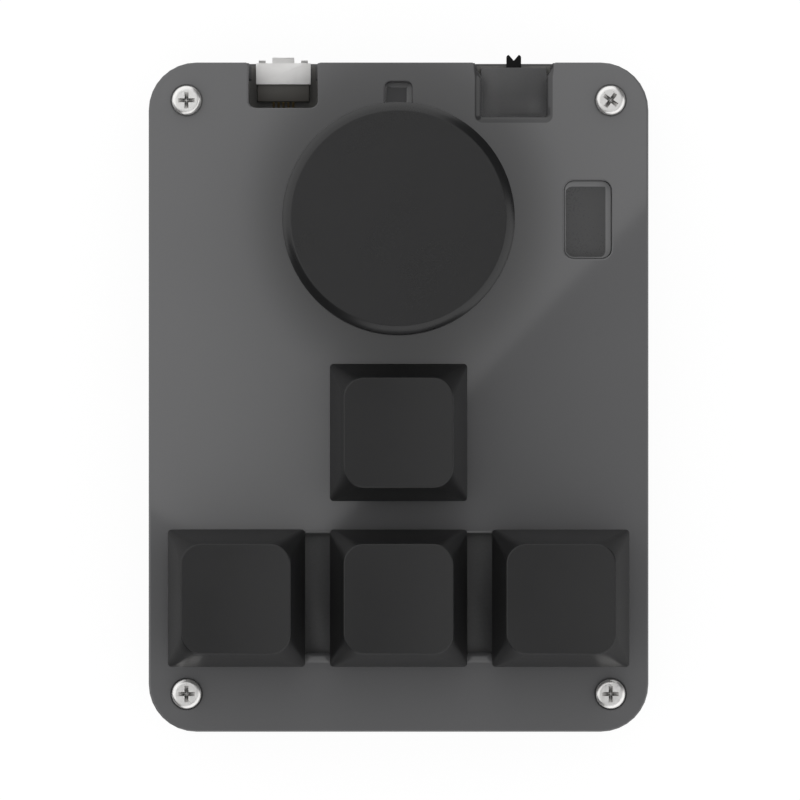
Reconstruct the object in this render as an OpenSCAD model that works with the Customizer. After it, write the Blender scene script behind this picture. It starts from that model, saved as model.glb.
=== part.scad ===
// Macro keypad with one push knob, four arrow keys, a micro USB receptacle and a slide switch.
// Frame: X to the right, Y to the rear edge with the receptacle, Z up. Z 0 is the underside of the feet,
// and X 0, Y 0 is the middle of the case. Millimetres.

/* [Case] */
// Width of the case from side to side
case_w = 66; // [64:0.5:74]
// Depth of the case from front to rear
case_d = 88.4; // [87:0.2:98]
// Radius of the upright corners
case_r = 6.3; // [4:0.1:8]
// Thickness of the side walls
wall_t = 2; // [1.8:0.1:2.6]
// Thickness of the floor
floor_t = 2; // [1.6:0.1:3]
// Free height between the floor and the circuit board
under_board_h = 6.4; // [6:0.1:10]
// Thickness of the cover over the switch plate
cover_t = 2; // [1.6:0.1:2.6]
// Width of the cover's rim round the switch plate
rim_w = 1; // [0.8:0.1:1.2]

/* [Plates] */
// Thickness of the steel switch plate
plate_t = 1.5; // [1.2:0.1:1.8]
// Thickness of the circuit board
board_t = 1.6; // [1.2:0.1:2]
// Height of the switch plate's top above the board
switch_drop = 5; // [4.8:0.1:6]

/* [Screws and feet] */
// Distance of each screw from both edges of the case
screw_inset = 5; // [4.6:0.1:5.6]
// Diameter of the screw heads
head_dia = 3.9; // [3.4:0.1:4.4]
// Height of the screw heads
head_h = 1.5; // [1:0.1:2]
// Diameter of the screw threads
screw_dia = 2; // [1.6:0.1:2.2]
// Length of the screws under the head
screw_l = 6; // [5:0.5:7]
// Outer diameter of the threaded inserts
insert_dia = 3.2; // [2.8:0.1:3.6]
// Length of the threaded inserts
insert_l = 4; // [3:0.5:4.5]
// Turn of the rear right screw's cross, clockwise from above
turned_screw_deg = 37; // [0:1:89]
// Diameter of the rubber feet
foot_dia = 8; // [6:0.5:10]
// Height of the feet below the case
foot_proud = 1.2; // [0.8:0.1:2]
// Distance of each foot's centre from both edges
foot_inset = 9; // [7:0.5:12]

/* [Keys] */
// Distance between neighbouring keys in the front row
key_pitch_x = 21.36; // [20.6:0.04:21.6]
// Distance from the front row to the up key
key_pitch_y = 21.84; // [20:0.04:23]
// Distance of the front row's centres from the front edge
row_from_front = 17.7; // [17:0.1:18.4]
// Travel of a key
key_travel = 4; // [3:0.1:4]
// Side of a keycap's square skirt
cap_base = 18.1; // [17.6:0.1:18.4]
// Width of a keycap's top face
cap_top_w = 14.4; // [13.6:0.1:15]
// Depth of a keycap's top face
cap_top_d = 14.5; // [13.6:0.1:15]
// Height of a keycap
cap_h = 9.1; // [8:0.1:10]
// Corner radius of the skirt
cap_base_r = 0.5; // [0.3:0.1:1]
// Corner radius of the top face
cap_top_r = 2.7; // [1.5:0.1:4]
// Wall thickness of a keycap
cap_wall = 1.4; // [1.1:0.1:1.5]
// Thickness of a keycap's roof under the dish
cap_roof = 1.5; // [1.2:0.1:2]
// Radius of the dish in the top face
dish_r = 38; // [30:1:60]
// Depth of the dish
dish_depth = 0.7; // [0.3:0.1:0.9]
// Size of the openings in the cover round the switches
key_window = 17; // [16.4:0.1:17.4]
// Corner radius of those openings
key_window_r = 1; // [0.5:0.1:2]

/* [Key switches] */
// Side of the square holes in the switch plate
switch_hole = 14; // [13.9:0.05:14.3]
// Side of the housing's flange on the plate
flange_w = 15.6; // [15.2:0.1:16]
// Height of the housing above the plate
switch_h = 6.6; // [6.2:0.1:6.8]
// Length of a cross arm of the stem
cross_l = 4.1; // [3.9:0.05:4.3]
// Height of the cross above the housing
cross_h = 3.6; // [3.2:0.1:3.8]
// Diameter of the spring, to the wire's middle
spring_dia = 4.2; // [4.1:0.05:4.4]
// Diameter of the spring wire
spring_wire = 0.24; // [0.2:0.02:0.3]
// Number of curls in a spring
spring_curls = 9; // [7:1:11]

/* [Knob and encoder] */
// Diameter of the knob
knob_dia = 30.5; // [26:0.1:31.6]
// Height of the knob
knob_h = 15; // [12:0.5:18]
// Width of the chamfer round the knob's top
knob_chamfer = 1.05; // [0.5:0.05:2]
// Distance of the knob's axis from the rear edge
knob_from_rear = 20.75; // [20.2:0.05:21.4]
// Gap between the knob and the cover
knob_gap = 1.1; // [0.8:0.1:2]
// Travel of the knob when it is pressed
push_travel = 0.5; // [0.2:0.1:0.5]
// Width of the encoder between its steel legs
encoder_w = 12.4; // [11.6:0.1:12.6]
// Depth of the encoder
encoder_d = 13.2; // [12.6:0.1:13.4]
// Height of the encoder's body above the board
encoder_h = 6; // [5.7:0.1:6.2]
// Diameter of the bushing's thread
bushing_dia = 7; // [6.8:0.1:7.4]
// Height of the bushing above the encoder's body
bushing_h = 5; // [4.4:0.1:6]
// Diameter of the shaft
shaft_dia = 6; // [5:0.1:6.1]
// Width of the nut across its flats
nut_af = 10; // [9:0.5:11]
// Thickness of the nut
nut_t = 2; // [1.5:0.1:2.2]

/* [USB receptacle] */
// Distance of the receptacle to the left of the middle
usb_left = 15.25; // [13:0.05:17]
// Width of the notch in the rear edge
usb_notch_w = 9.1; // [8.6:0.1:10]
// Depth of the notch
usb_notch_d = 6; // [5.8:0.1:6.6]
// Width of the metal shell
usb_w = 7.25; // [7:0.05:7.5]
// Height of the metal shell
usb_h = 2.6; // [2.4:0.05:2.8]
// Length of the metal shell behind the edge
usb_shell_l = 2.8; // [2.4:0.1:3.2]

/* [Slide switch] */
// Distance of the slide switch to the right of the middle
slide_right = 15.25; // [13:0.05:17]
// Width of its notch in the rear edge
slide_notch_w = 10.3; // [9.9:0.1:11]
// Depth of its notch
slide_notch_d = 8; // [7.6:0.1:8.4]
// Width of the switch
slide_w = 8.7; // [8.4:0.1:9]
// Depth of the switch
slide_d = 6.6; // [6.2:0.1:6.8]
// Height of the switch
slide_h = 3.5; // [3.3:0.1:3.7]
// Width of the slider's finger tab
slide_tab_w = 1.95; // [1.6:0.05:2.2]
// Reach of the tab past the rear edge
slide_reach = 1.1; // [0.8:0.05:1.2]
// Travel of the slider to each side
slide_travel = 1.5; // [1:0.1:1.5]

/* [Mode button and status window] */
// Width of the mode button's opening
button_w = 6.25; // [5.6:0.05:7]
// Depth of the mode button's opening
button_d = 10.3; // [9:0.1:11]
// Distance of the mode button's centre from the right edge
button_from_right = 8; // [7.6:0.1:8.8]
// Depth of the button's face below the cover's top
button_sink = 1; // [0.6:0.1:1.2]
// Travel of the mode button
button_travel = 0.4; // [0.2:0.05:0.4]
// Width of the status window
window_w = 3.6; // [3:0.1:4.2]
// Depth of the status window
window_d = 5; // [4:0.1:5.4]
// Distance of the status window from the rear edge
window_from_rear = 2.56; // [2.3:0.02:3]
// Depth of the status window's face below the cover's top
window_sink = 1.2; // [0.6:0.1:1.4]

/* [Battery] */
// Width of the battery
battery_w = 30; // [24:0.5:34]
// Depth of the battery
battery_d = 40; // [30:0.5:44]
// Thickness of the battery
battery_h = 3.5; // [3:0.1:3.8]

/* [Hidden] */
$fn = 64;
// Overrun of every cut past the face that it starts from
overrun = 1;
// Gap round a piece that drops into another
fit_gap = 0.1;
// Gap round the circuit board and its tongues
board_gap = 0.3;
// Gap round a piece that slides
slide_gap = 0.15;
// Gap at a stop that a spring holds shut
stop_gap = 0.05;
// Radial gap of a shaft that turns, or of a thread's plain stand-in
run_gap = 0.03;
// Gap round a soldered lead in its hole
lead_gap = 0.1;
// Length of solder tails under the board
tail_l = 1.2;
// Thickness of the thin slices that hulls start from
slice_t = 0.01;

// Heights of the stack, from the feet up
floor_top = foot_proud + floor_t;
board_z = floor_top + under_board_h;
board_top = board_z + board_t;
plate_top = board_top + switch_drop;
plate_z = plate_top - plate_t;
cover_top = plate_top + cover_t;

// Places on the case
rear_y = case_d / 2;
right_x = case_w / 2;
row_y = row_from_front - case_d / 2;
knob_y = rear_y - knob_from_rear;
usb_x = -usb_left;
slide_x = slide_right;
button_x = right_x - button_from_right;
button_y = knob_y;
window_y = rear_y - window_from_rear - window_d / 2;
screw_x = right_x - screw_inset;
screw_y = rear_y - screw_inset;
plate_inset = rim_w + fit_gap;
inner_w = case_w - 2 * wall_t;
inner_d = case_d - 2 * wall_t;
inner_r = case_r - wall_t;

// Screws, inserts and bosses
head_seat_depth = 0.4;
head_seat_gap = 0.2;
head_chamfer = 0.5;
cross_arm_w = 0.6;
cross_arm_l = 2.2;
cross_depth = 0.9;
boss_dia = 6;
board_step_dia = 8.4;
screw_hole_gap = 0.1;
tip_room = 0.6;

// Feet
foot_seat = 0.8;
foot_chamfer = 0.4;
foot_gap = 0.1;

// Notches in the rear edge
notch_r = 1;
rear_tongue_back = 3;

// Key names with their places as steps of the two pitches
KEY_STEPS = [["up", 0, 1], ["left", -1, 0], ["down", 0, 0], ["right", 1, 0]];

// Keycaps
skirt_gap = 0.3;
skirt_z = cover_top + key_travel + skirt_gap;
cap_post_dia = 5.5;
cap_inner_r = 0.4;
cross_gap = 0.02;
cross_arm_x_t = 1.31;
cross_arm_y_t = 1.17;
cross_room = 0.3;

// Key switch housings, measured from the top of the switch plate
flange_t = 1;
housing_gap = 0.05;
housing_wall = 1;
housing_floor_t = 0.8;
housing_roof_t = 1;
housing_foot_w = 15;
housing_top_w = 11.2;
housing_top_d = 10.6;
post_dia = 4;
post_below_board = 3.3;
post_web = 0.5;
peg_dia = 1.7;
peg_x = 5.08;
peg_l = 2.4;
post_hole_gap = 0.1;

// Stem and spring
stem_w = 7.2;
stem_d = 5.56;
stem_skirt_w = 9;
stem_skirt_d = 6.6;
stem_skirt_t = 1.15;
stem_pin_dia = 2;
guide_wall = 0.55;
guide_room = 0.6;
pin_room = 0.3;
spring_steps = 8;
spring_sides = 6;
spring_end_gap = 0.03;
switch_floor_z = housing_floor_t - switch_drop;
post_tip_z = -switch_drop - post_below_board;
guide_bottom_z = post_tip_z + post_web;
stem_skirt_top_z = switch_h - housing_roof_t - stop_gap;
stem_skirt_z = stem_skirt_top_z - stem_skirt_t;
guide_top_z = stem_skirt_z - key_travel - guide_room;
stem_pin_z = guide_bottom_z + key_travel + pin_room;
spring_z = switch_floor_z + spring_wire / 2 + spring_end_gap;
spring_l = stem_skirt_z - spring_wire / 2 - spring_end_gap - spring_z;

// Switch contacts: the pins stand on a grid of 1.27
contact_grid = 1.27;
contact_pin_w = 0.9;
contact_pin_t = 0.4;
contact_leaf_t = 0.2;
contact_leaf_h = 4.6;
contact_leaf_w = 2.6;
contact_hole_dia = 1.4;

// Knob and encoder, heights over the whole stack
knob_foot_chamfer = 0.4;
knob_roof = 1.9;
shaft_end_gap = 0.2;
flat_depth = 1.5;
recess_room = 0.4;
nut_room = 1.6;
washer_t = 0.5;
washer_over = 2;
knob_z = cover_top + knob_gap;
knob_top = knob_z + knob_h;
body_top = board_top + encoder_h;
bushing_top = body_top + bushing_h;
knob_recess_top = bushing_top + push_travel + recess_room;
shaft_top = knob_top - knob_roof - shaft_end_gap;
knob_recess_dia = nut_af / cos(30) + 2 * nut_room;

// Inside the encoder, heights above the board
encoder_leg_t = 0.5;
encoder_leg_w = 2.2;
encoder_top_t = 0.8;
encoder_base_h = 2.4;
encoder_base_floor = 0.6;
dome_dia = 5;
dome_h = 0.55;
dome_t = 0.1;
dome_steps = 8;
well_gap = 0.3;
plunger_t = 0.9;
plunger_gap = 0.2;
rotor_dia = 10;
rotor_gap = 0.2;
rotor_hub_dia = 7;
rotor_disc_t = 0.9;
encoder_pin_w = 0.9;
encoder_pin_t = 0.5;
encoder_pin_h = 1.6;
encoder_pin_pitch = 2.5;
encoder_roof_gap = 0.1;
encoder_side_gap = 0.3;
dome_z = board_top + encoder_base_floor;
plunger_z = dome_z + dome_h + stop_gap;
tail_z = board_top + encoder_base_h + push_travel + slide_gap;
rotor_z = board_top + encoder_base_h + rotor_gap;
rotor_top = body_top - encoder_top_t - rotor_gap;
plunger_stub_dia = shaft_dia - 2 * flat_depth - 2 * slide_gap;

// USB receptacle
usb_wall = 0.3;
usb_corner = 0.8;
usb_lip_w = 2.9;
usb_lip_l = 0.73;
usb_side_lip_w = 0.9;
usb_side_lip_l = 0.35;
usb_side_lip_x = 2.8;
usb_lip_rise = 0.35;
usb_tab_w = 1.2;
usb_back_l = 2.3;
usb_back_w = 6.9;
usb_tongue_w = 4.2;
usb_tongue_t = 0.6;
usb_tongue_setback = 0.7;
usb_contacts_n = 5;
usb_contact_pitch = 0.65;
usb_contact_w = 0.3;
usb_contact_t = 0.12;
usb_tail_l = 0.8;
usb_tail_z = 0.9;
usb_back = rear_y - usb_shell_l - usb_back_l;

// Slide switch
slide_setback = 0.6;
slide_base_t = 0.8;
slide_frame_t = 0.3;
slide_carriage_w = 4.2;
slide_carriage_d = 2;
slide_tab_t = 1.4;
slide_prong_r = 0.33;
slide_notch_v = 0.76;
slide_pin_w = 0.5;
slide_pins_n = 4;
slide_pin_pitch = 2;
slide_pin_back = 1;
slide_front = rear_y - slide_setback;
slide_frame_z = board_top + slide_base_t;

// Mode button and its push switch
button_r = 1.3;
button_gap = 0.25;
button_flange = 0.6;
button_flange_t = 0.8;
button_cut_gap = 0.2;
tact_w = 4.5;
tact_h = 2.9;
tact_plunger_dia = 2;
tact_well = 1.2;
button_flange_z = plate_top - stop_gap - button_flange_t;
tact_top = button_flange_z - stop_gap;

// Status window and its lamp
window_r = 0.8;
window_flange = 0.6;
window_flange_t = 1;
led_w = 1.25;
led_d = 2;
led_h = 0.8;

// Circuits on the board
chip_w = 7;
chip_h = 0.9;
chip_from_left = 13;
chip_below_knob = 18;
small_w = 1.6;
small_d = 0.8;
small_h = 0.7;
small_n = 4;
small_pitch = 1.9;
small_off = 1.6;
crystal_w = 3.2;
crystal_d = 2.5;
crystal_h = 0.8;
regulator_w = 2.9;
regulator_h = 1.1;
chip_x = chip_from_left - right_x;
chip_y = knob_y - chip_below_knob;

// Battery, its leads and their plug
battery_from_front = 12.2;
battery_edge_r = 1.4;
battery_seal_l = 2.5;
battery_seal_t = 0.4;
battery_seal_inset = 2;
battery_fence_t = 1;
battery_fence_gap = 0.3;
socket_left = 12;
socket_below_knob = 1;
socket_w = 5.6;
socket_d = 5;
socket_h = 3.4;
socket_wall = 0.6;
plug_out = 1.6;
plug_gap = 0.08;
lead_dia = 1;
lead_pitch = 1.25;
lead_steps = 24;
lead_sides = 8;
lead_end_gap = 0.02;
battery_y = battery_from_front - rear_y + battery_d / 2;
battery_end_y = battery_y + battery_d / 2 + battery_seal_l;
battery_fence_h = battery_h / 2 - lead_dia / 2 - battery_fence_gap;
socket_x = -socket_left;
socket_y = knob_y - socket_below_knob;
socket_z = board_z - socket_h;
plug_w = socket_w - 2 * socket_wall - 2 * plug_gap;
plug_h = socket_h - 2 * socket_wall - 2 * plug_gap;
plug_back = socket_y - socket_d / 2 - plug_out;
plug_mid_z = socket_z + socket_h / 2;

// Colours as they show
DARK_SHELL = [0.29, 0.29, 0.30];
DARK_CAP = [0.14, 0.14, 0.15];
BLACK = [0.07, 0.07, 0.08];
STEEL = [0.78, 0.78, 0.80];
BRASS = [0.80, 0.64, 0.34];
GOLD = [0.88, 0.72, 0.36];

// Shapes that several sub-parts share

// Flat rectangle with true round corners
module rounded_rect(w, d, r) {
    square([w - 2 * r, d], center = true);
    square([w, d - 2 * r], center = true);
    for (sx = [-1, 1], sy = [-1, 1])
        translate([sx * (w / 2 - r), sy * (d / 2 - r)])
            circle(r);
}

// Block that stands on a height, centred in X and Y
module block(w, d, h) {
    translate([-w / 2, -d / 2])
        cube([w, d, h]);
}

// Tube with a round bore
module ring(outer_dia, bore_dia, h) {
    difference() {
        cylinder(d = outer_dia, h = h);
        translate([0, 0, -overrun])
            cylinder(d = bore_dia, h = h + 2 * overrun);
    }
}

// Puts its children at the four corners of a rectangle of half sizes x and y
module at_corners(x, y) {
    for (sx = [-1, 1], sy = [-1, 1])
        translate([sx * x, sy * y])
            children();
}

function key_x(k) = k[1] * key_pitch_x;
function key_y(k) = row_y + k[2] * key_pitch_y;

// Puts its children at a key, standing on the top of the switch plate
module at_key(k) {
    translate([key_x(k), key_y(k), plate_top])
        children();
}

// Outline of the notches in the rear edge, open to the rear
module notch_outline(grow = 0) {
    translate([usb_x, rear_y])
        rounded_rect(usb_notch_w - 2 * grow, 2 * (usb_notch_d - grow), notch_r);
    translate([slide_x, rear_y])
        rounded_rect(slide_notch_w - 2 * grow, 2 * (slide_notch_d - grow), notch_r);
}

function unit(v) = v / norm(v);

// Ring of points round a place on a path that never runs upright
function path_ring(p, t, r, sides) =
    let (s = unit(cross(t, [0, 0, 1])), u = cross(s, t))
    [for (i = [0 : sides - 1]) p + r * (cos(360 * i / sides) * s + sin(360 * i / sides) * u)];

// Round wire along a path
module wire(path, r, sides) {
    last = len(path) - 1;
    points = [
        for (i = [0 : last])
            let (t = unit(path[min(i + 1, last)] - path[max(i - 1, 0)]))
            each path_ring(path[i], t, r, sides)
    ];
    walls = [
        for (i = [0 : last - 1], j = [0 : sides - 1])
            let (a = i * sides, b = a + sides, n = (j + 1) % sides)
            each [[a + j, a + n, b + n], [a + j, b + n, b + j]]
    ];
    start = [for (j = [1 : sides - 2]) [0, j + 1, j]];
    end = [for (j = [1 : sides - 2]) [last * sides, last * sides + j, last * sides + j + 1]];
    polyhedron(points = points, faces = concat(walls, start, end));
}

// Case

module top_cover() {
    color(DARK_SHELL)
        difference() {
            union() {
                translate([0, 0, plate_top])
                    linear_extrude(cover_t)
                        rounded_rect(case_w, case_d, case_r);
                translate([0, 0, plate_z])
                    linear_extrude(plate_t)
                        difference() {
                            rounded_rect(case_w, case_d, case_r);
                            rounded_rect(case_w - 2 * rim_w, case_d - 2 * rim_w, case_r - rim_w);
                        }
            }
            translate([0, 0, plate_z - overrun])
                linear_extrude(plate_t + cover_t + 2 * overrun)
                    cover_cuts();
            translate([0, knob_y, plate_top - overrun])
                block(encoder_hole_w(), encoder_hole_d(), overrun + body_top - plate_top + encoder_roof_gap);
            translate([0, 0, cover_top - head_seat_depth])
                at_corners(screw_x, screw_y)
                    cylinder(d = head_dia + 2 * head_seat_gap, h = head_seat_depth + overrun);
        }
}

function encoder_hole_w() = encoder_w + 2 * encoder_leg_t + 2 * encoder_side_gap;
function encoder_hole_d() = encoder_d + 2 * encoder_side_gap;

module cover_cuts() {
    notch_outline();
    translate([0, row_y])
        rounded_rect(2 * key_pitch_x + key_window, key_window, key_window_r);
    translate([0, row_y + key_pitch_y])
        rounded_rect(key_window, key_window, key_window_r);
    translate([0, knob_y])
        circle(d = bushing_dia + 2 * fit_gap);
    translate([button_x, button_y])
        rounded_rect(button_w, button_d, button_r);
    translate([0, window_y])
        rounded_rect(window_w, window_d, window_r);
    at_corners(screw_x, screw_y)
        circle(d = screw_dia + 2 * screw_hole_gap);
}

module bottom_case() {
    color(DARK_SHELL)
        difference() {
            union() {
                translate([0, 0, foot_proud])
                    linear_extrude(floor_t)
                        rounded_rect(case_w, case_d, case_r);
                translate([0, 0, foot_proud])
                    linear_extrude(plate_z - foot_proud)
                        difference() {
                            rounded_rect(case_w, case_d, case_r);
                            rounded_rect(inner_w, inner_d, inner_r);
                        }
                bosses();
                battery_fence();
            }
            translate([0, 0, plate_z - insert_l])
                at_corners(screw_x, screw_y)
                    cylinder(d = insert_dia, h = insert_l + overrun);
            translate([0, 0, screw_tip_z() - tip_room])
                at_corners(screw_x, screw_y)
                    cylinder(d = screw_dia + 2 * screw_hole_gap, h = plate_z - screw_tip_z() + tip_room);
            translate([0, 0, foot_proud - overrun])
                at_corners(right_x - foot_inset, rear_y - foot_inset)
                    cylinder(d = foot_dia + 2 * foot_gap, h = foot_seat + overrun);
            translate([0, 0, board_z - board_gap])
                linear_extrude(plate_z - board_z + board_gap + overrun)
                    notch_outline();
        }
}

function screw_tip_z() = min(cover_top - head_seat_depth - screw_l, plate_z - insert_l);

// Corner bosses with a step that carries the circuit board
module bosses() {
    translate([0, 0, foot_proud])
        intersection() {
            linear_extrude(plate_z - foot_proud)
                rounded_rect(case_w, case_d, case_r);
            at_corners(screw_x, screw_y) {
                cylinder(d = boss_dia, h = plate_z - foot_proud);
                cylinder(d = board_step_dia, h = board_z - foot_proud);
            }
        }
}

// Low rib round the battery
module battery_fence() {
    fence_w = battery_w + 2 * battery_fence_gap;
    fence_d = battery_d + battery_seal_l + 2 * battery_fence_gap;
    translate([0, battery_y + battery_seal_l / 2, foot_proud])
        difference() {
            block(fence_w + 2 * battery_fence_t, fence_d + 2 * battery_fence_t, floor_t + battery_fence_h);
            translate([0, 0, floor_t])
                block(fence_w, fence_d, battery_fence_h + overrun);
        }
}

module case_screws() {
    color(STEEL)
        translate([0, 0, cover_top - head_seat_depth])
            for (sx = [-1, 1], sy = [-1, 1])
                translate([sx * screw_x, sy * screw_y])
                    rotate(sx + sy == 2 ? -turned_screw_deg : 0)
                        case_screw();
}

module case_screw() {
    translate([0, 0, -screw_l])
        cylinder(d = screw_dia, h = screw_l);
    difference() {
        union() {
            cylinder(d = head_dia, h = head_h - head_chamfer);
            translate([0, 0, head_h - head_chamfer])
                cylinder(d1 = head_dia, d2 = head_dia - 2 * head_chamfer, h = head_chamfer);
        }
        for (a = [0, 90])
            rotate(a)
                translate([0, 0, head_h - cross_depth])
                    block(cross_arm_l, cross_arm_w, cross_depth + overrun);
    }
}

module threaded_inserts() {
    color(BRASS)
        translate([0, 0, plate_z - insert_l])
            at_corners(screw_x, screw_y)
                ring(insert_dia, screw_dia + 2 * run_gap, insert_l);
}

module rubber_feet() {
    color(BLACK)
        at_corners(right_x - foot_inset, rear_y - foot_inset) {
            cylinder(d1 = foot_dia - 2 * foot_chamfer, d2 = foot_dia, h = foot_chamfer);
            translate([0, 0, foot_chamfer])
                cylinder(d = foot_dia, h = foot_proud + foot_seat - foot_chamfer);
        }
}

// Switch plate and circuit board

module switch_plate() {
    color(BLACK)
        translate([0, 0, plate_z])
            linear_extrude(plate_t)
                difference() {
                    rounded_rect(case_w - 2 * plate_inset, case_d - 2 * plate_inset, case_r - plate_inset);
                    notch_outline();
                    for (k = KEY_STEPS)
                        translate([key_x(k), key_y(k)])
                            square(switch_hole, center = true);
                    translate([0, knob_y])
                        square([encoder_hole_w(), encoder_hole_d()], center = true);
                    translate([button_x, button_y])
                        rounded_rect(
                            button_w + 2 * (button_flange + button_cut_gap),
                            button_d + 2 * (button_flange + button_cut_gap),
                            button_r
                        );
                    translate([0, window_y])
                        rounded_rect(
                            window_w + 2 * (window_flange + button_cut_gap),
                            window_d + 2 * (window_flange + button_cut_gap),
                            window_r
                        );
                    at_corners(screw_x, screw_y)
                        circle(d = screw_dia + 2 * screw_hole_gap);
                }
}

module main_board() {
    color([0.05, 0.09, 0.07])
        translate([0, 0, board_z])
            linear_extrude(board_t)
                difference() {
                    board_outline();
                    at_corners(screw_x, screw_y)
                        circle(d = boss_dia + 2 * board_gap);
                    for (k = KEY_STEPS)
                        translate([key_x(k), key_y(k)])
                            switch_drilling();
                    translate([0, knob_y])
                        encoder_drilling();
                    for (s = [-1, 1])
                        translate([usb_x + s * (usb_w - usb_wall) / 2, rear_y - usb_shell_l / 2])
                            square([usb_wall + 2 * lead_gap, usb_tab_w + 2 * lead_gap], center = true);
                    for (i = [0 : slide_pins_n - 1])
                        translate([slide_pin_x(i), slide_front - slide_d + slide_pin_back])
                            square(slide_pin_w + 2 * lead_gap, center = true);
                }
}

// Board with two tongues that reach into the notches of the rear edge
module board_outline() {
    rounded_rect(inner_w - 2 * board_gap, inner_d - 2 * board_gap, inner_r - board_gap);
    for (n = [[usb_x, usb_notch_w], [slide_x, slide_notch_w]])
        translate([n[0] - n[1] / 2 + board_gap, rear_y - wall_t - board_gap - rear_tongue_back])
            square([n[1] - 2 * board_gap, wall_t + rear_tongue_back]);
}

module switch_drilling() {
    circle(d = post_dia + 2 * post_hole_gap);
    for (s = [-1, 1])
        translate([s * peg_x, 0])
            circle(d = peg_dia + 2 * post_hole_gap);
    for (p = contact_places())
        translate(p)
            circle(d = contact_hole_dia);
}

module encoder_drilling() {
    for (s = [-1, 1])
        translate([s * (encoder_w + encoder_leg_t) / 2, 0])
            square([encoder_leg_t + 2 * lead_gap, encoder_leg_w + 2 * lead_gap], center = true);
    for (p = encoder_pin_places())
        translate(p)
            square([encoder_pin_w + 2 * lead_gap, encoder_pin_t + 2 * lead_gap], center = true);
}

// Keycaps

module cap_slice(w, d, r, z) {
    translate([0, 0, z])
        linear_extrude(slice_t)
            rounded_rect(w, d, r, $fn = 32);
}

module keycap(k) {
    top_z = skirt_z + cap_h;
    roof_z = top_z - dish_depth - cap_roof;
    lean = (cap_base - cap_top_w) / 2 * (roof_z - skirt_z) / cap_h;
    room_w = cap_base - 2 * cap_wall;
    color(DARK_CAP)
        translate([key_x(k), key_y(k), 0])
            difference() {
                union() {
                    difference() {
                        hull() {
                            cap_slice(cap_base, cap_base, cap_base_r, skirt_z);
                            cap_slice(cap_top_w, cap_top_d, cap_top_r, top_z - slice_t);
                        }
                        hull() {
                            cap_slice(room_w, room_w, cap_inner_r, skirt_z - slice_t);
                            cap_slice(room_w - 2 * lean, room_w - 2 * lean, cap_top_r / 2, roof_z - slice_t);
                        }
                    }
                    translate([0, 0, plate_top + switch_h])
                        cylinder(d = cap_post_dia, h = roof_z - plate_top - switch_h);
                }
                translate([0, 0, top_z - dish_depth + dish_r])
                    sphere(dish_r);
                translate([0, 0, plate_top + switch_h - overrun])
                    stem_cross(cross_h + cross_room + overrun, cross_gap);
            }
}

// Cross of the stem, or of the socket in the keycap's post
module stem_cross(h, gap) {
    block(cross_l + 2 * gap, cross_arm_x_t + 2 * gap, h);
    block(cross_arm_y_t + 2 * gap, cross_l + 2 * gap, h);
}

// Key switches

module switch_stem(k) {
    color([0.45, 0.20, 0.12])
        at_key(k) {
            translate([0, 0, switch_h])
                stem_cross(cross_h, 0);
            translate([0, 0, stem_skirt_z])
                block(stem_w, stem_d, switch_h - stem_skirt_z);
            translate([0, 0, stem_skirt_z])
                block(stem_skirt_w, stem_skirt_d, stem_skirt_t);
            translate([0, 0, stem_pin_z])
                cylinder(d = stem_pin_dia, h = stem_skirt_z - stem_pin_z);
        }
}

module switch_spring(k) {
    color(STEEL)
        at_key(k)
            wire(
                [
                    for (i = [0 : spring_curls * spring_steps])
                        let (a = 360 * i / spring_steps)
                        [
                            spring_dia / 2 * cos(a),
                            spring_dia / 2 * sin(a),
                            spring_z + spring_l * i / (spring_curls * spring_steps)
                        ]
                ],
                spring_wire / 2,
                spring_sides
            );
}
echo(spring_gap_between_curls = spring_l / spring_curls - spring_wire);

module switch_top_housing(k) {
    inner_foot_w = housing_foot_w - 2 * housing_wall;
    color(BLACK)
        at_key(k)
            difference() {
                hull() {
                    translate([0, 0, flange_t])
                        block(housing_foot_w, housing_foot_w, slice_t);
                    translate([0, 0, switch_h - slice_t])
                        block(housing_top_w, housing_top_d, slice_t);
                }
                hull() {
                    translate([0, 0, flange_t - slice_t])
                        block(inner_foot_w, inner_foot_w, slice_t);
                    translate([0, 0, switch_h - housing_roof_t - slice_t])
                        block(
                            max(housing_top_w - housing_wall, stem_skirt_w + 2 * slide_gap),
                            max(housing_top_d - housing_wall, stem_skirt_d + 2 * slide_gap),
                            slice_t
                        );
                }
                translate([0, 0, flange_t])
                    block(stem_w + 2 * slide_gap, stem_d + 2 * slide_gap, switch_h);
            }
}

module switch_bottom_housing(k) {
    body_w = switch_hole - 2 * housing_gap;
    room_w = body_w - 2 * housing_wall;
    color([0.10, 0.10, 0.11])
        at_key(k)
            difference() {
                union() {
                    difference() {
                        union() {
                            translate([0, 0, -switch_drop])
                                block(body_w, body_w, switch_drop + flange_t);
                            block(flange_w, flange_w, flange_t);
                        }
                        translate([0, 0, switch_floor_z])
                            block(room_w, room_w, switch_drop + flange_t);
                    }
                    translate([0, 0, post_tip_z])
                        cylinder(d = post_dia, h = post_below_board);
                    for (s = [-1, 1])
                        translate([s * peg_x, 0, -switch_drop - peg_l])
                            cylinder(d = peg_dia, h = peg_l);
                    translate([0, 0, -switch_drop])
                        cylinder(d = guide_bore() + 2 * guide_wall, h = guide_top_z + switch_drop);
                }
                translate([0, 0, guide_bottom_z])
                    cylinder(d = guide_bore(), h = switch_drop - guide_bottom_z);
                translate([0, 0, -switch_drop - overrun])
                    contact_floor_holes();
            }
}

function guide_bore() = stem_pin_dia + 2 * slide_gap;

module contact_floor_holes() {
    for (p = contact_places())
        translate(p)
            block(contact_pin_w, contact_pin_t, housing_floor_t + 2 * overrun);
}

// Places of the two contact pins of a switch
function contact_places() = [
    [-3 * contact_grid, 2 * contact_grid],
    [2 * contact_grid, 4 * contact_grid]
];

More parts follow.
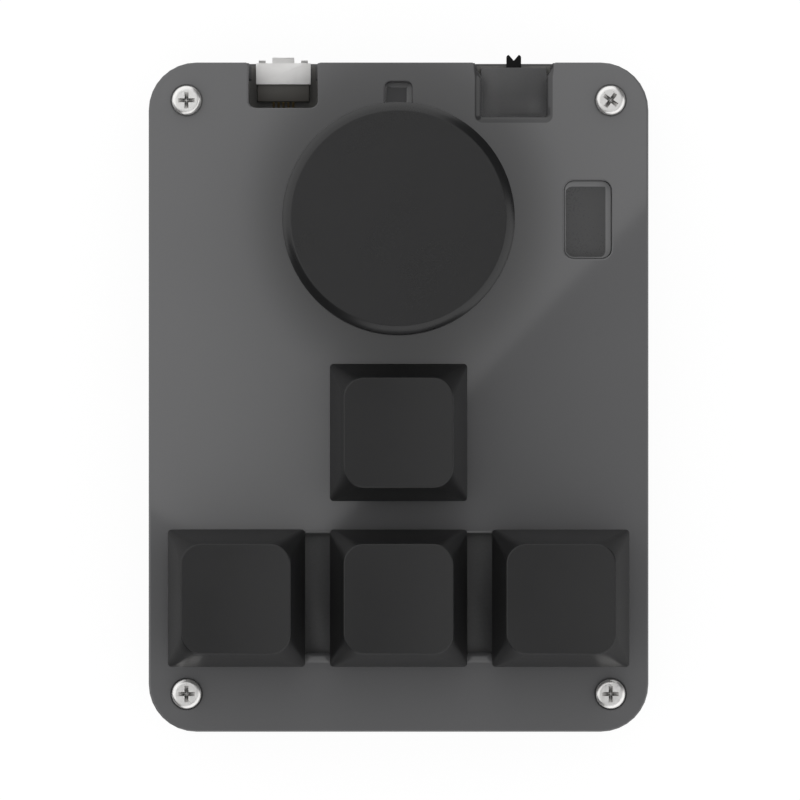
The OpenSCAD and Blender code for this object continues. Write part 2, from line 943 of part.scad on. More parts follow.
// A fixed leaf behind a springy one, each with its solder pin
module switch_contacts(k) {
    fixed = contact_places()[0];
    moving = contact_places()[1];
    reach = moving[1] - fixed[1];
    color(GOLD)
        at_key(k) {
            for (p = contact_places())
                translate([p[0], p[1], post_tip_z])
                    block(contact_pin_w, contact_pin_t, post_below_board + housing_floor_t + contact_leaf_t);
            translate([fixed[0], fixed[1] + reach / 2, switch_floor_z])
                block(contact_pin_w, reach + contact_pin_t, contact_leaf_t);
            translate([fixed[0] + (contact_leaf_w - contact_pin_w) / 2, moving[1], switch_floor_z])
                block(contact_leaf_w, contact_leaf_t, contact_leaf_h);
            translate([moving[0] - (contact_leaf_w - contact_pin_w) / 2, moving[1], switch_floor_z])
                block(contact_leaf_w, contact_leaf_t, contact_leaf_h);
        }
}

// Knob and encoder

module at_knob(z = 0) {
    translate([0, knob_y, z])
        children();
}

module knob() {
    r = knob_dia / 2;
    color(DARK_CAP)
        at_knob(knob_z)
            difference() {
                rotate_extrude()
                    polygon([
                        [0, 0],
                        [r - knob_foot_chamfer, 0],
                        [r, knob_foot_chamfer],
                        [r, knob_h - knob_chamfer],
                        [r - knob_chamfer, knob_h],
                        [0, knob_h]
                    ]);
                translate([0, 0, -overrun])
                    cylinder(d = knob_recess_dia, h = knob_recess_top - knob_z + overrun);
                d_shaft(shaft_dia + 2 * run_gap, shaft_top + shaft_end_gap - knob_z, run_gap);
            }
}

// Round shaft with one flat, from the height that it stands on
module d_shaft(dia, h, gap) {
    difference() {
        cylinder(d = dia, h = h);
        translate([shaft_dia / 2 - flat_depth + gap, -dia / 2, -overrun])
            cube([dia, dia, h + 2 * overrun]);
    }
}

// Shaft with a flat at each end: the lower one turns the rotor and the upper one carries the knob
module encoder_shaft() {
    round_z = rotor_top + push_travel + slide_gap;
    color(STEEL) {
        at_knob(tail_z)
            d_shaft(shaft_dia, shaft_top - tail_z, 0);
        at_knob(round_z)
            cylinder(d = shaft_dia, h = knob_recess_top - round_z);
    }
}

// Disc with the code track, keyed to the shaft's flat
module encoder_rotor() {
    color([0.85, 0.85, 0.82])
        at_knob(rotor_z)
            difference() {
                union() {
                    cylinder(d = rotor_dia, h = rotor_disc_t);
                    cylinder(d = rotor_hub_dia, h = rotor_top - rotor_z);
                }
                translate([0, 0, -overrun])
                    d_shaft(shaft_dia + 4 * run_gap, rotor_top - rotor_z + 2 * overrun, 2 * run_gap);
            }
}

// Disc over the snap dome, with a stub that reaches up through the rotor to the shaft's tail
module encoder_plunger() {
    color(BLACK)
        at_knob(plunger_z) {
            cylinder(d = dome_dia + 2 * well_gap - 2 * plunger_gap, h = plunger_t);
            cylinder(d = plunger_stub_dia, h = tail_z - stop_gap - plunger_z);
        }
}

// Snap dome: a shallow cap of even thickness
module encoder_push_dome() {
    rise = dome_h - dome_t;
    outer_r = (dome_dia * dome_dia / 4 + rise * rise) / (2 * rise);
    span = asin(dome_dia / 2 / outer_r);
    color(STEEL)
        at_knob(dome_z)
            rotate_extrude()
                polygon([
                    for (i = [0 : dome_steps])
                        let (a = span * i / dome_steps)
                        [outer_r * sin(a), outer_r * cos(a) - outer_r + rise + dome_t],
                    for (i = [dome_steps : -1 : 0])
                        let (a = span * i / dome_steps)
                        [outer_r * sin(a), outer_r * cos(a) - outer_r + rise]
                ]);
}

module encoder_bushing() {
    color(STEEL)
        at_knob(body_top - encoder_top_t)
            ring(bushing_dia, shaft_dia + 2 * run_gap, encoder_top_t + bushing_h);
}

module encoder_nut() {
    color(STEEL)
        at_knob(cover_top + washer_t)
            difference() {
                cylinder(d = nut_af / cos(30), h = nut_t, $fn = 6);
                translate([0, 0, -overrun])
                    cylinder(d = bushing_dia + 2 * run_gap, h = nut_t + 2 * overrun);
            }
}

module encoder_washer() {
    color(STEEL)
        at_knob(cover_top)
            ring(nut_af + washer_over, bushing_dia + 2 * fit_gap, washer_t);
}

// Bent steel frame whose two legs go through the board
module encoder_housing() {
    color(STEEL)
        at_knob() {
            translate([0, 0, body_top - encoder_top_t])
                difference() {
                    block(encoder_w + 2 * encoder_leg_t, encoder_d, encoder_top_t);
                    translate([0, 0, -overrun])
                        cylinder(d = bushing_dia, h = encoder_top_t + 2 * overrun);
                }
            for (s = [-1, 1])
                translate([s * (encoder_w + encoder_leg_t) / 2, 0]) {
                    translate([0, 0, board_top])
                        block(encoder_leg_t, encoder_d, body_top - board_top);
                    translate([0, 0, board_z - tail_l])
                        block(encoder_leg_t, encoder_leg_w, board_t + tail_l);
                }
        }
}

module encoder_base() {
    color(BLACK)
        at_knob(board_top)
            difference() {
                block(encoder_w, encoder_d, encoder_base_h);
                translate([0, 0, encoder_base_floor])
                    cylinder(d = dome_dia + 2 * well_gap, h = encoder_base_h);
            }
}

// Three code pins at the front and two push pins at the rear
function encoder_pin_places() = [
    for (s = [-1, 0, 1]) [s * encoder_pin_pitch, -(encoder_d + encoder_pin_t) / 2],
    for (s = [-1, 1]) [s * encoder_pin_pitch, (encoder_d + encoder_pin_t) / 2]
];

module encoder_pins() {
    color(STEEL)
        at_knob(board_z - tail_l)
            for (p = encoder_pin_places())
                translate(p)
                    block(encoder_pin_w, encoder_pin_t, tail_l + board_t + encoder_pin_h);
}

// USB receptacle

// Cross-section of the receptacle with its two sloped lower corners, X across and Y up
module usb_section(inset) {
    w = usb_w / 2 - inset;
    polygon([
        [-w + usb_corner, inset],
        [w - usb_corner, inset],
        [w, inset + usb_corner],
        [w, usb_h - inset],
        [-w, usb_h - inset],
        [-w, inset + usb_corner]
    ]);
}

// Puts its children in the rear wall, with their Y up and their Z to the front
module at_usb(y) {
    translate([usb_x, y, board_top])
        rotate([90, 0, 0])
            children();
}

module usb_shell() {
    color(STEEL) {
        at_usb(rear_y)
            linear_extrude(usb_shell_l)
                difference() {
                    usb_section(0);
                    usb_section(usb_wall);
                }
        translate([usb_x, rear_y, board_top + usb_h])
            usb_lip(usb_lip_w, usb_lip_l);
        for (s = [-1, 1]) {
            translate([usb_x + s * usb_side_lip_x, rear_y, board_top + usb_h])
                usb_lip(usb_side_lip_w, usb_side_lip_l);
            translate([usb_x + s * (usb_w - usb_wall) / 2, rear_y - usb_shell_l / 2, board_z])
                block(usb_wall, usb_tab_w, board_t + usb_corner + usb_wall);
        }
    }
}

// Flared lip of the shell's roof that rises as it leans out
module usb_lip(w, l) {
    translate([-w / 2, 0, 0])
        rotate([90, 0, 90])
            linear_extrude(w)
                polygon([
                    [0, -usb_wall],
                    [l, usb_lip_rise - usb_wall],
                    [l, usb_lip_rise],
                    [0, 0]
                ]);
}

module usb_insulator() {
    color(BLACK) {
        translate([usb_x, usb_back + usb_back_l / 2, board_top])
            block(usb_back_w, usb_back_l, usb_h - usb_wall);
        translate([usb_x, usb_back + usb_back_l, usb_tongue_z()])
            translate([-usb_tongue_w / 2, 0])
                cube([usb_tongue_w, usb_shell_l - usb_tongue_setback, usb_tongue_t]);
    }
}

function usb_tongue_z() = board_top + usb_h / 2;

module usb_contacts() {
    color(GOLD)
        for (i = [0 : usb_contacts_n - 1])
            translate([usb_x + (i - (usb_contacts_n - 1) / 2) * usb_contact_pitch, 0]) {
                translate([-usb_contact_w / 2, usb_back + usb_back_l, usb_tongue_z() - usb_contact_t])
                    cube([usb_contact_w, usb_shell_l - 2 * usb_tongue_setback, usb_contact_t]);
                translate([-usb_contact_w / 2, usb_back - usb_tail_l, board_top])
                    cube([usb_contact_w, usb_tail_l, usb_contact_t]);
                translate([-usb_contact_w / 2, usb_back - usb_contact_t, board_top])
                    cube([usb_contact_w, usb_contact_t, usb_tail_z]);
            }
}

// Slide switch

module at_slide(y, z) {
    translate([slide_x, y, z])
        children();
}

module slide_switch_body() {
    inner = slide_frame_t + fit_gap;
    block_d = slide_d - 2 * inner - slide_carriage_d - 2 * slide_gap;
    color(BLACK) {
        at_slide(slide_front - slide_d / 2, board_top)
            block(slide_w, slide_d, slide_base_t);
        at_slide(slide_front - slide_d + inner + block_d / 2, slide_frame_z)
            block(slide_w - 2 * inner, block_d, slide_h - slide_base_t - slide_frame_t - fit_gap);
    }
}

// Blackened steel frame over the body, with a slot in front for the tab
module slide_switch_frame() {
    frame_h = slide_h - slide_base_t;
    room_w = slide_w - 2 * slide_frame_t;
    room_d = slide_d - 2 * slide_frame_t;
    slot_w = slide_tab_w + 2 * slide_travel + 2 * slide_gap;
    slot_h = slide_tab_t + 3 * slide_gap;
    color([0.16, 0.16, 0.17])
        at_slide(slide_front, slide_frame_z)
            difference() {
                translate([0, -slide_d / 2])
                    block(slide_w, slide_d, frame_h);
                translate([0, -slide_d / 2, -overrun])
                    block(room_w, room_d, frame_h - slide_frame_t + overrun);
                translate([0, 0, -overrun])
                    block(slot_w, 2 * slide_frame_t + 2 * slide_gap, slot_h + overrun);
            }
}

// Carriage inside the frame with the forked finger tab
module slide_switch_slider() {
    back_y = slide_front - slide_frame_t - slide_gap - slide_carriage_d;
    carriage_h = slide_h - slide_base_t - slide_frame_t - 2 * slide_gap;
    tip_y = rear_y + slide_reach;
    prong_x = slide_tab_w / 2 - slide_prong_r;
    color(BLACK)
        at_slide(0, slide_frame_z + slide_gap) {
            translate([0, back_y + slide_carriage_d / 2])
                block(slide_carriage_w, slide_carriage_d, carriage_h);
            linear_extrude(slide_tab_t)
                difference() {
                    union() {
                        translate([-slide_tab_w / 2, back_y])
                            square([slide_tab_w, tip_y - slide_prong_r - back_y]);
                        for (s = [-1, 1])
                            translate([s * prong_x, tip_y - slide_prong_r])
                                circle(slide_prong_r);
                    }
                    polygon([
                        [0, tip_y - slide_notch_v],
                        [prong_x, tip_y],
                        [prong_x, tip_y + overrun],
                        [-prong_x, tip_y + overrun],
                        [-prong_x, tip_y]
                    ]);
                }
        }
}

function slide_pin_x(i) = slide_x + (i - (slide_pins_n - 1) / 2) * slide_pin_pitch;

module slide_switch_pins() {
    color(STEEL)
        for (i = [0 : slide_pins_n - 1])
            translate([slide_pin_x(i), slide_front - slide_d + slide_pin_back, board_z - tail_l])
                block(slide_pin_w, slide_pin_w, board_t + tail_l);
}

// Mode button and status window

module at_button(z) {
    translate([button_x, button_y, z])
        children();
}

module mode_button_cap() {
    color(DARK_SHELL)
        at_button(button_flange_z) {
            linear_extrude(button_flange_t)
                rounded_rect(button_w + 2 * button_flange, button_d + 2 * button_flange, button_r);
            linear_extrude(cover_top - button_sink - button_flange_z)
                rounded_rect(button_w - 2 * button_gap, button_d - 2 * button_gap, button_r - button_gap);
        }
}

module tact_switch() {
    color(BLACK)
        at_button(board_top)
            difference() {
                block(tact_w, tact_w, tact_h);
                translate([0, 0, tact_h - tact_well])
                    cylinder(d = tact_plunger_dia + 2 * slide_gap, h = tact_well + overrun);
            }
}

module tact_plunger() {
    foot_z = board_top + tact_h - tact_well + button_travel + stop_gap;
    color([0.6, 0.6, 0.6])
        at_button(foot_z)
            cylinder(d = tact_plunger_dia, h = tact_top - foot_z);
}

module status_led() {
    color([0.9, 0.9, 0.85])
        translate([0, window_y, board_top])
            block(led_w, led_d, led_h);
}

module led_window() {
    color([0.18, 0.18, 0.20])
        translate([0, window_y, plate_top - window_flange_t]) {
            linear_extrude(window_flange_t)
                rounded_rect(window_w + 2 * window_flange, window_d + 2 * window_flange, window_r);
            linear_extrude(window_flange_t + cover_t - window_sink)
                rounded_rect(window_w - 2 * stop_gap, window_d - 2 * stop_gap, window_r - stop_gap);
        }
}

// Circuits on the board

module microcontroller() {
    color(BLACK)
        translate([chip_x, chip_y, board_top])
            block(chip_w, chip_w, chip_h);
}

// Rows of small chips round the controller, a crystal, a regulator and a diode beside each switch
module board_components() {
    row_off = chip_w / 2 + small_off;
    color([0.55, 0.47, 0.36])
        translate([0, 0, board_top]) {
            for (i = [0 : small_n - 1], s = [-1, 1])
                translate([chip_x + (i - (small_n - 1) / 2) * small_pitch, chip_y + s * row_off])
                    block(small_d, small_w, small_h);
            translate([chip_x + row_off + crystal_w / 2, chip_y])
                block(crystal_w, crystal_d, crystal_h);
            translate([chip_x, chip_y + row_off + small_w + regulator_w])
                block(regulator_w, regulator_w, regulator_h);
            for (k = KEY_STEPS)
                translate([key_x(k), key_y(k) + switch_hole / 2 + small_off])
                    block(small_w, small_d, small_h);
        }
}

// Battery

module battery_cell() {
    color([0.72, 0.72, 0.74])
        translate([0, battery_y, floor_top]) {
            translate([0, battery_d / 2, battery_h / 2])
                rotate([90, 0, 0])
                    linear_extrude(battery_d)
                        rounded_rect(battery_w, battery_h, battery_edge_r);
            translate([0, battery_d / 2 + battery_seal_l / 2, battery_h / 2 - battery_seal_t / 2])
                block(battery_w - 2 * battery_seal_inset, battery_seal_l, battery_seal_t);
        }
}

// Two leads that rise in one smooth bend from the cell's sealed end to the plug
module battery_leads() {
    start_y = battery_end_y + lead_end_gap;
    end_y = plug_back - lead_end_gap;
    start_z = floor_top + battery_h / 2;
    color([0.7, 0.1, 0.1])
        for (s = [-1, 1])
            wire(
                [
                    for (i = [0 : lead_steps])
                        let (u = i / lead_steps, rise = u * u * (3 - 2 * u))
                        [
                            socket_x + s * lead_pitch / 2,
                            start_y + (end_y - start_y) * u,
                            start_z + (plug_mid_z - start_z) * rise
                        ]
                ],
                lead_dia / 2,
                lead_sides
            );
}

module battery_socket() {
    color([0.88, 0.85, 0.76])
        translate([socket_x, socket_y, socket_z])
            difference() {
                block(socket_w, socket_d, socket_h);
                translate([0, -socket_wall, socket_wall])
                    block(socket_w - 2 * socket_wall, socket_d, socket_h - 2 * socket_wall);
            }
}

module battery_plug() {
    front = socket_y + socket_d / 2 - socket_wall - plug_gap;
    color([0.93, 0.92, 0.88])
        translate([socket_x, (front + plug_back) / 2, plug_mid_z - plug_h / 2])
            block(plug_w, front - plug_back, plug_h);
}

top_cover();
bottom_case();
case_screws();
threaded_inserts();
rubber_feet();
switch_plate();
main_board();
for (k = KEY_STEPS) {
    keycap(k);
    switch_stem(k);
    switch_spring(k);
    switch_top_housing(k);
    switch_bottom_housing(k);
    switch_contacts(k);
}
knob();
encoder_shaft();
encoder_rotor();
encoder_plunger();
encoder_push_dome();
encoder_bushing();
encoder_nut();
encoder_washer();
encoder_housing();
encoder_base();
encoder_pins();
usb_shell();
usb_insulator();
usb_contacts();
slide_switch_body();
slide_switch_frame();
slide_switch_slider();
slide_switch_pins();
mode_button_cap();
tact_switch();
tact_plunger();
status_led();
led_window();
microcontroller();
board_components();
battery_cell();
battery_leads();
battery_plug();
battery_socket();
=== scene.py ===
import math

import bmesh
import bpy
from mathutils import Matrix, Vector


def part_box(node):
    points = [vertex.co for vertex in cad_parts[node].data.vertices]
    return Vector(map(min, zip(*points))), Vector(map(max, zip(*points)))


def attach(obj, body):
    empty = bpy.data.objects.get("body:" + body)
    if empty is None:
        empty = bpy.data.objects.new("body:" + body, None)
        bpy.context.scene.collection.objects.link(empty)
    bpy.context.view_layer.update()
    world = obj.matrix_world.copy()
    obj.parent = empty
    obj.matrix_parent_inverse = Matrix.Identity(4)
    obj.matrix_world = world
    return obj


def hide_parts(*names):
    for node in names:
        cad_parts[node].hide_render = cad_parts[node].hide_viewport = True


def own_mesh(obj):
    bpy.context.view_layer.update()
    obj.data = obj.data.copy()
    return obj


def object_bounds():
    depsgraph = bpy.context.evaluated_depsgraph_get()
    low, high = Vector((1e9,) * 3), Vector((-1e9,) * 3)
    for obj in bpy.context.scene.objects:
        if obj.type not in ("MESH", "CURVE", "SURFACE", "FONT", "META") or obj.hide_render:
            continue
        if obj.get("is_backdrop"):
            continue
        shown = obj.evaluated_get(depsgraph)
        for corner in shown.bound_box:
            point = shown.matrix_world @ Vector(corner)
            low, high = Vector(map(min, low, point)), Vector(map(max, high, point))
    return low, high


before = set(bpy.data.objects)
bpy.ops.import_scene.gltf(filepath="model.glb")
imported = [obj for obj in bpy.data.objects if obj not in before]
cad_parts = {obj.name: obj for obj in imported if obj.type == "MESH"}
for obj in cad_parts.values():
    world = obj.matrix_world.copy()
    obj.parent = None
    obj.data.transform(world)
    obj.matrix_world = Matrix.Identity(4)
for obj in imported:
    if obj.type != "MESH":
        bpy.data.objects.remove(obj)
cad_lo, cad_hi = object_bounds()

# Camera, table and light
# The keypad lies on a white table under an even white dome, seen from straight above through a long
# lens. One dark flag arches over it, so that gloss shows which way each face leans.
PHOTO_PX = 800
PX_PER_MM = 7.571
VIEW_CENTRE_MM = (0.19, -0.38)
CAMERA_HEIGHT_MM = 2000
SENSOR_MM = 36
FAR_CLIP_M = 100
TABLE_MM = 12000
TABLE_GLOW = 1.025
SHADOW_SHARE = 0.10
TABLE_GLOSS_SHADE = 0.25
TABLE_GLOSS_SHADE_MM = 95
FLAG_RADIUS_MM = 3000
FLAG_EDGE_MM = 8.5
FLAG_WIDTH_MM = 620
FLAG_REAR_MM = (-1100, 2100, 2)
FLAG_FRONT_MM = (-2260, 1270, 4)
FLAG_STEPS = 64
FLAP_ON_COVER_MM = ((-80, 10.3), (15, -40.3), (15, -120), (-80, -120))
APRON_FROM_MM = 75
MM = 0.001
MM_TO_M = Matrix.Scale(MM, 4)


def box_mm(node):
    """The low and the high corner of a CAD node in millimetres."""
    return [corner * 1000 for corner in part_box(node)]


def add(tree, kind, inputs=None, **settings):
    """A new node with its settings, its inputs set to values or linked to sockets."""
    node = tree.nodes.new(kind)
    for key, value in settings.items():
        setattr(node, key, value)
    for key, value in (inputs or {}).items():
        if isinstance(value, bpy.types.NodeSocket):
            tree.links.new(value, node.inputs[key])
        else:
            node.inputs[key].default_value = value
    return node


def calc(tree, operation, *values, **settings):
    """The result of a sum on values or sockets."""
    return add(tree, "ShaderNodeMath", dict(enumerate(values)), operation=operation, **settings).outputs[0]


def vector_calc(tree, operation, *values):
    """The result of a sum on vectors. SCALE takes its factor as the second value."""
    keys = (0, "Scale") if operation == "SCALE" else (0, 1)
    node = add(tree, "ShaderNodeVectorMath", dict(zip(keys, values)), operation=operation)
    return node.outputs["Value" if operation in ("LENGTH", "DOT_PRODUCT") else "Vector"]


def object_place(tree):
    """Where a point is on its object, in metres."""
    return add(tree, "ShaderNodeTexCoord").outputs["Object"]


def show(tree, shader):
    """Makes a shader the surface of its material."""
    add(tree, "ShaderNodeOutputMaterial", {"Surface": shader.outputs[0]})


def new_object(name, mesh):
    piece = bpy.data.objects.new(name, mesh)
    bpy.context.scene.collection.objects.link(piece)
    return piece


def mesh_from(name, bm):
    """A mesh in metres from a bmesh that is drawn in millimetres."""
    bm.transform(MM_TO_M)
    mesh = bpy.data.meshes.new(name)
    bm.to_mesh(mesh)
    bm.free()
    return mesh


def bare_material(name):
    """A material without nodes, and its node tree."""
    material = bpy.data.materials.new(name)
    material.use_nodes = True
    material.node_tree.nodes.clear()
    return material, material.node_tree


camera = new_object("photo_camera", bpy.data.cameras.new("photo_camera"))
camera.data.sensor_width = SENSOR_MM
camera.data.lens = SENSOR_MM * CAMERA_HEIGHT_MM * PX_PER_MM / PHOTO_PX
camera.data.clip_end = FAR_CLIP_M
camera.location = MM_TO_M @ Vector((*VIEW_CENTRE_MM, box_mm("top_cover")[1].z + CAMERA_HEIGHT_MM))
bpy.context.scene.camera = camera
bpy.context.scene.view_settings.view_transform = "Standard"

dome = bpy.data.worlds.new("white_dome")
dome.use_nodes = True
dome.node_tree.nodes["Background"].inputs["Color"].default_value = (1, 1, 1, 1)
bpy.context.scene.world = dome

table_bm = bmesh.new()
bmesh.ops.create_grid(table_bm, x_segments=1, y_segments=1, size=TABLE_MM / 2)
table = new_object("table", mesh_from("table", table_bm))
table_white, tree = bare_material("table_white")
rays = add(tree, "ShaderNodeLightPath").outputs
# Painted shade in reflections: glossy rays see the table darker near the keypad, standing in for the keypad's
# shade on it.
near = calc(tree, "LESS_THAN", vector_calc(tree, "LENGTH", object_place(tree)), TABLE_GLOSS_SHADE_MM * MM)
near = calc(tree, "MULTIPLY", near, rays["Is Glossy Ray"])
white = calc(tree, "MULTIPLY_ADD", near, TABLE_GLOSS_SHADE - 1, 1.0)
paint = add(tree, "ShaderNodeBsdfDiffuse", {"Color": white})
glow = add(tree, "ShaderNodeEmission", {"Strength": TABLE_GLOW})
glow_share = calc(tree, "MULTIPLY", rays["Is Camera Ray"], 1 - SHADOW_SHARE)
show(tree, add(tree, "ShaderNodeMixShader", {0: glow_share, 1: paint.outputs[0], 2: glow.outputs[0]}))
table.data.materials.append(table_white)
table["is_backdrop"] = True

# The flag runs from the table at the rear right over the zenith and down to the front left. Its edge
# is straight near the zenith, which draws the sharp diagonal on the cover. A flap hangs on its far side.
mirror = FLAG_RADIUS_MM / CAMERA_HEIGHT_MM
edge = FLAG_EDGE_MM * (1 + mirror) - mirror * (VIEW_CENTRE_MM[0] - VIEW_CENTRE_MM[1])
rear_right = Vector((1, 1, 0)).normalized()
front_right = Vector((1, -1, 0)).normalized()
flag_bm = bmesh.new()
rows = []
for step in range(-1, FLAG_STEPS + 2):
    turn = math.pi * min(max(step, 0), FLAG_STEPS) / FLAG_STEPS
    low = abs(math.cos(turn))
    near, far, bend = FLAG_REAR_MM if math.cos(turn) > 0 else FLAG_FRONT_MM
    sides = (edge / math.sqrt(2) + near * low ** bend, FLAG_WIDTH_MM + (far - FLAG_WIDTH_MM) * low ** 2)
    share = APRON_FROM_MM / FLAG_RADIUS_MM if step in (-1, FLAG_STEPS + 1) else 1
    middle = rear_right * math.cos(turn) * FLAG_RADIUS_MM
    middle.z = max(math.sin(turn) * FLAG_RADIUS_MM, 1)
    rows.append([flag_bm.verts.new((middle + front_right * side) * share) for side in sides])
for row, following in zip(rows, rows[1:]):
    flag_bm.faces.new((row[0], row[1], following[1], following[0]))
flap = [Vector(corner) * (1 + mirror) - Vector(VIEW_CENTRE_MM) * mirror for corner in FLAP_ON_COVER_MM]
flag_bm.faces.new([flag_bm.verts.new((*corner, FLAG_RADIUS_MM)) for corner in flap])
flag = new_object("studio_flag", mesh_from("studio_flag", flag_bm))
for ray in ("camera", "diffuse", "transmission", "volume_scatter", "shadow"):
    setattr(flag, "visible_" + ray, False)
flag_black, tree = bare_material("flag_black")
show(tree, add(tree, "ShaderNodeBsdfDiffuse", {"Color": (0, 0, 0, 1)}))
flag.data.materials.append(flag_black)
flag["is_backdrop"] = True

# Bottom case
# The lower half of the shell is moulded dark grey plastic with a fine eroded grain. It has corner
# bosses for the inserts, a fence for the battery and two notches in the rear wall.
WELD_MM = 0.002
SUPPORT_MM = 0.07
FLAT_ANGLE = math.radians(0.3)
SHARP_ANGLE = math.radians(32)
CLOUDS_PER_METRE = 70.0
ROUGHNESS_SWING = 0.12
WEAR_MM = 0.2
WEAR_GAIN = 6.0
WORN_LIGHTER = (2.2, 0.02)
PATCHES_PER_METRE = 600
CASE_GREY = (0.1191, 0.1191, 0.1217, 1)
CASE_FOOT_R = 0.9
CASE_FOOT_STEPS = 5
CASE_RIM_BAND_MM = 6.5
CASE_HOLLOW_MM = (29, 40)
CASE_LIP_R = 0.2


def shader_group(name, inputs, outputs):
    """An empty shader group, the sockets of its input node and its output node's inputs."""
    group = bpy.data.node_groups.new(name, "ShaderNodeTree")
    for way, sockets in (("INPUT", inputs), ("OUTPUT", outputs)):
        for label, kind in sockets:
            group.interface.new_socket(label, in_out=way, socket_type="NodeSocket" + kind)
    return group, group.nodes.new("NodeGroupInput").outputs, group.nodes.new("NodeGroupOutput").inputs


def noise(tree, place, per_metre, detail=2.0):
    """Cloudy noise from 0 to 1."""
    texture = add(tree, "ShaderNodeTexNoise", {"Vector": place, "Scale": per_metre, "Detail": detail})
    return texture.outputs["Fac"]


# Moulded skin: a fine grain with slow clouds in its tone, as eroded tool steel leaves it
floats = ("Grain per metre", "Depth", "Contrast", "Roughness")
tree, given, result = shader_group(
    "moulded_skin", [("Colour", "Color"), *[(label, "Float") for label in floats]],
    [("Colour", "Color"), ("Roughness", "Float"), ("Normal", "Vector")])
moulded_skin = tree
place = object_place(tree)
grain = noise(tree, place, given["Grain per metre"], 3.0)
swing = calc(tree, "SUBTRACT", calc(tree, "ADD", grain, noise(tree, place, CLOUDS_PER_METRE)), 1.0)
tone = calc(tree, "MULTIPLY_ADD", swing, given["Contrast"], 1.0)
bump = add(tree, "ShaderNodeBump", {"Height": grain, "Distance": given["Depth"]}).outputs[0]
tree.links.new(vector_calc(tree, "SCALE", given["Colour"], tone), result["Colour"])
tree.links.new(calc(tree, "MULTIPLY_ADD", swing, ROUGHNESS_SWING, given["Roughness"]), result["Roughness"])
tree.links.new(bump, result["Normal"])

# Edge wear: a mask that is 1 on outer edges, where hands and the tool's polish reach
tree, given, result = shader_group("edge_wear", [], [("Mask", "Float")])
edge_wear = tree
soft = add(tree, "ShaderNodeBevel", {"Radius": WEAR_MM * MM}, samples=4).outputs[0]
true = add(tree, "ShaderNodeNewGeometry").outputs["Normal"]
edge = calc(tree, "SUBTRACT", 1.0, vector_calc(tree, "DOT_PRODUCT", soft, true))
gain = calc(tree, "MULTIPLY", WEAR_GAIN, noise(tree, object_place(tree), PATCHES_PER_METRE))
tree.links.new(calc(tree, "MULTIPLY", edge, gain, use_clamp=True), result["Mask"])


def skin_node(tree, colour, grain, depth, contrast, roughness):
    """The moulded skin in a material: grain per metre, depth in thousandths of a millimetre."""
    return add(tree, "ShaderNodeGroup", {
        "Colour": colour, "Grain per metre": grain, "Depth": depth * MM * MM, "Contrast": contrast,
        "Roughness": roughness}, node_tree=moulded_skin).outputs


def moulded(name, colour, roughness, grain=4000, depth=10, contrast=0.1, wear=0.0, **constants):
    """A moulded or painted surface. Worn edges are lighter; the constants go to its shader."""
    material, tree = bare_material(name)
    skin = skin_node(tree, colour, grain, depth, contrast, roughness)
    shade = skin["Colour"]
    if wear:
        gain, lift = WORN_LIGHTER
        lighter = [min(1, gain * c + lift) for c in colour[:3]] + [1]
        mask = add(tree, "ShaderNodeGroup", node_tree=edge_wear).outputs["Mask"]
        amount = calc(tree, "MULTIPLY", mask, wear)
        shade = add(tree, "ShaderNodeMixRGB", {"Fac": amount, "Color1": shade, "Color2": lighter}).outputs[0]
    show(tree, add(tree, "ShaderNodeBsdfPrincipled", {
        "Base Color": shade, "Roughness": skin["Roughness"], "Normal": skin["Normal"],
        **{key.replace("_", " "): value for key, value in constants.items()}}))
    return material


def shader_of(material):
    return next(node for node in material.node_tree.nodes if node.type == "BSDF_PRINCIPLED")


def scale_colour(material, share):
    """Multiplies the colour of a material by a socket's value."""
    tree = material.node_tree
    colour = shader_of(material).inputs["Base Color"]
    tree.links.new(vector_calc(tree, "SCALE", colour.links[0].from_socket, share), colour)


def cad_copy(node):
    """A CAD node's mesh in millimetres, its loose triangles merged and its flat faces made whole."""
    bm = bmesh.new()
    bm.from_mesh(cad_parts[node].data)
    bm.transform(MM_TO_M.inverted())
    bmesh.ops.remove_doubles(bm, verts=bm.verts, dist=WELD_MM)
    bmesh.ops.dissolve_limit(bm, angle_limit=FLAT_ANGLE, verts=bm.verts, edges=bm.edges)
    return bm


def round_edges(bm, radius, steps=2, picked=lambda middle: True):
    """Rounds the sharp edges whose middle passes the test."""
    edges = [e for e in bm.edges if len(e.link_faces) == 2 and e.calc_face_angle() > SHARP_ANGLE
             and picked((e.verts[0].co + e.verts[1].co) / 2)]
    bmesh.ops.bevel(bm, geom=edges, offset=radius, offset_type="OFFSET", segments=steps,
                    profile=0.5, affect="EDGES", clamp_overlap=True)
    return bm


def place_piece(name, solid, material, slot, node, body="root"):
    """Puts a finished bmesh or mesh on its body, in the place of the CAD node that it stands for."""
    mesh = mesh_from(name, solid) if isinstance(solid, bmesh.types.BMesh) else solid
    mesh.materials.clear()
    mesh.materials.append(material)
    mesh.shade_smooth()
    mesh.set_sharp_from_angle(angle=SHARP_ANGLE)
    piece = new_object(name, mesh)
    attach(piece, body)
    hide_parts(node)
    return piece


case_plastic = moulded("case_plastic", CASE_GREY, 0.42, grain=5200, depth=4, contrast=0.05, wear=0.05,
                       Specular_IOR_Level=0.0, Coat_Weight=0.88, Coat_Roughness=0.02)
case_lo, case_hi = box_mm("bottom_case")


def from_side(point):
    """How far a point lies outside the case's nearest side."""
    return max(abs(point.x) - case_hi.x, abs(point.y) - case_hi.y)


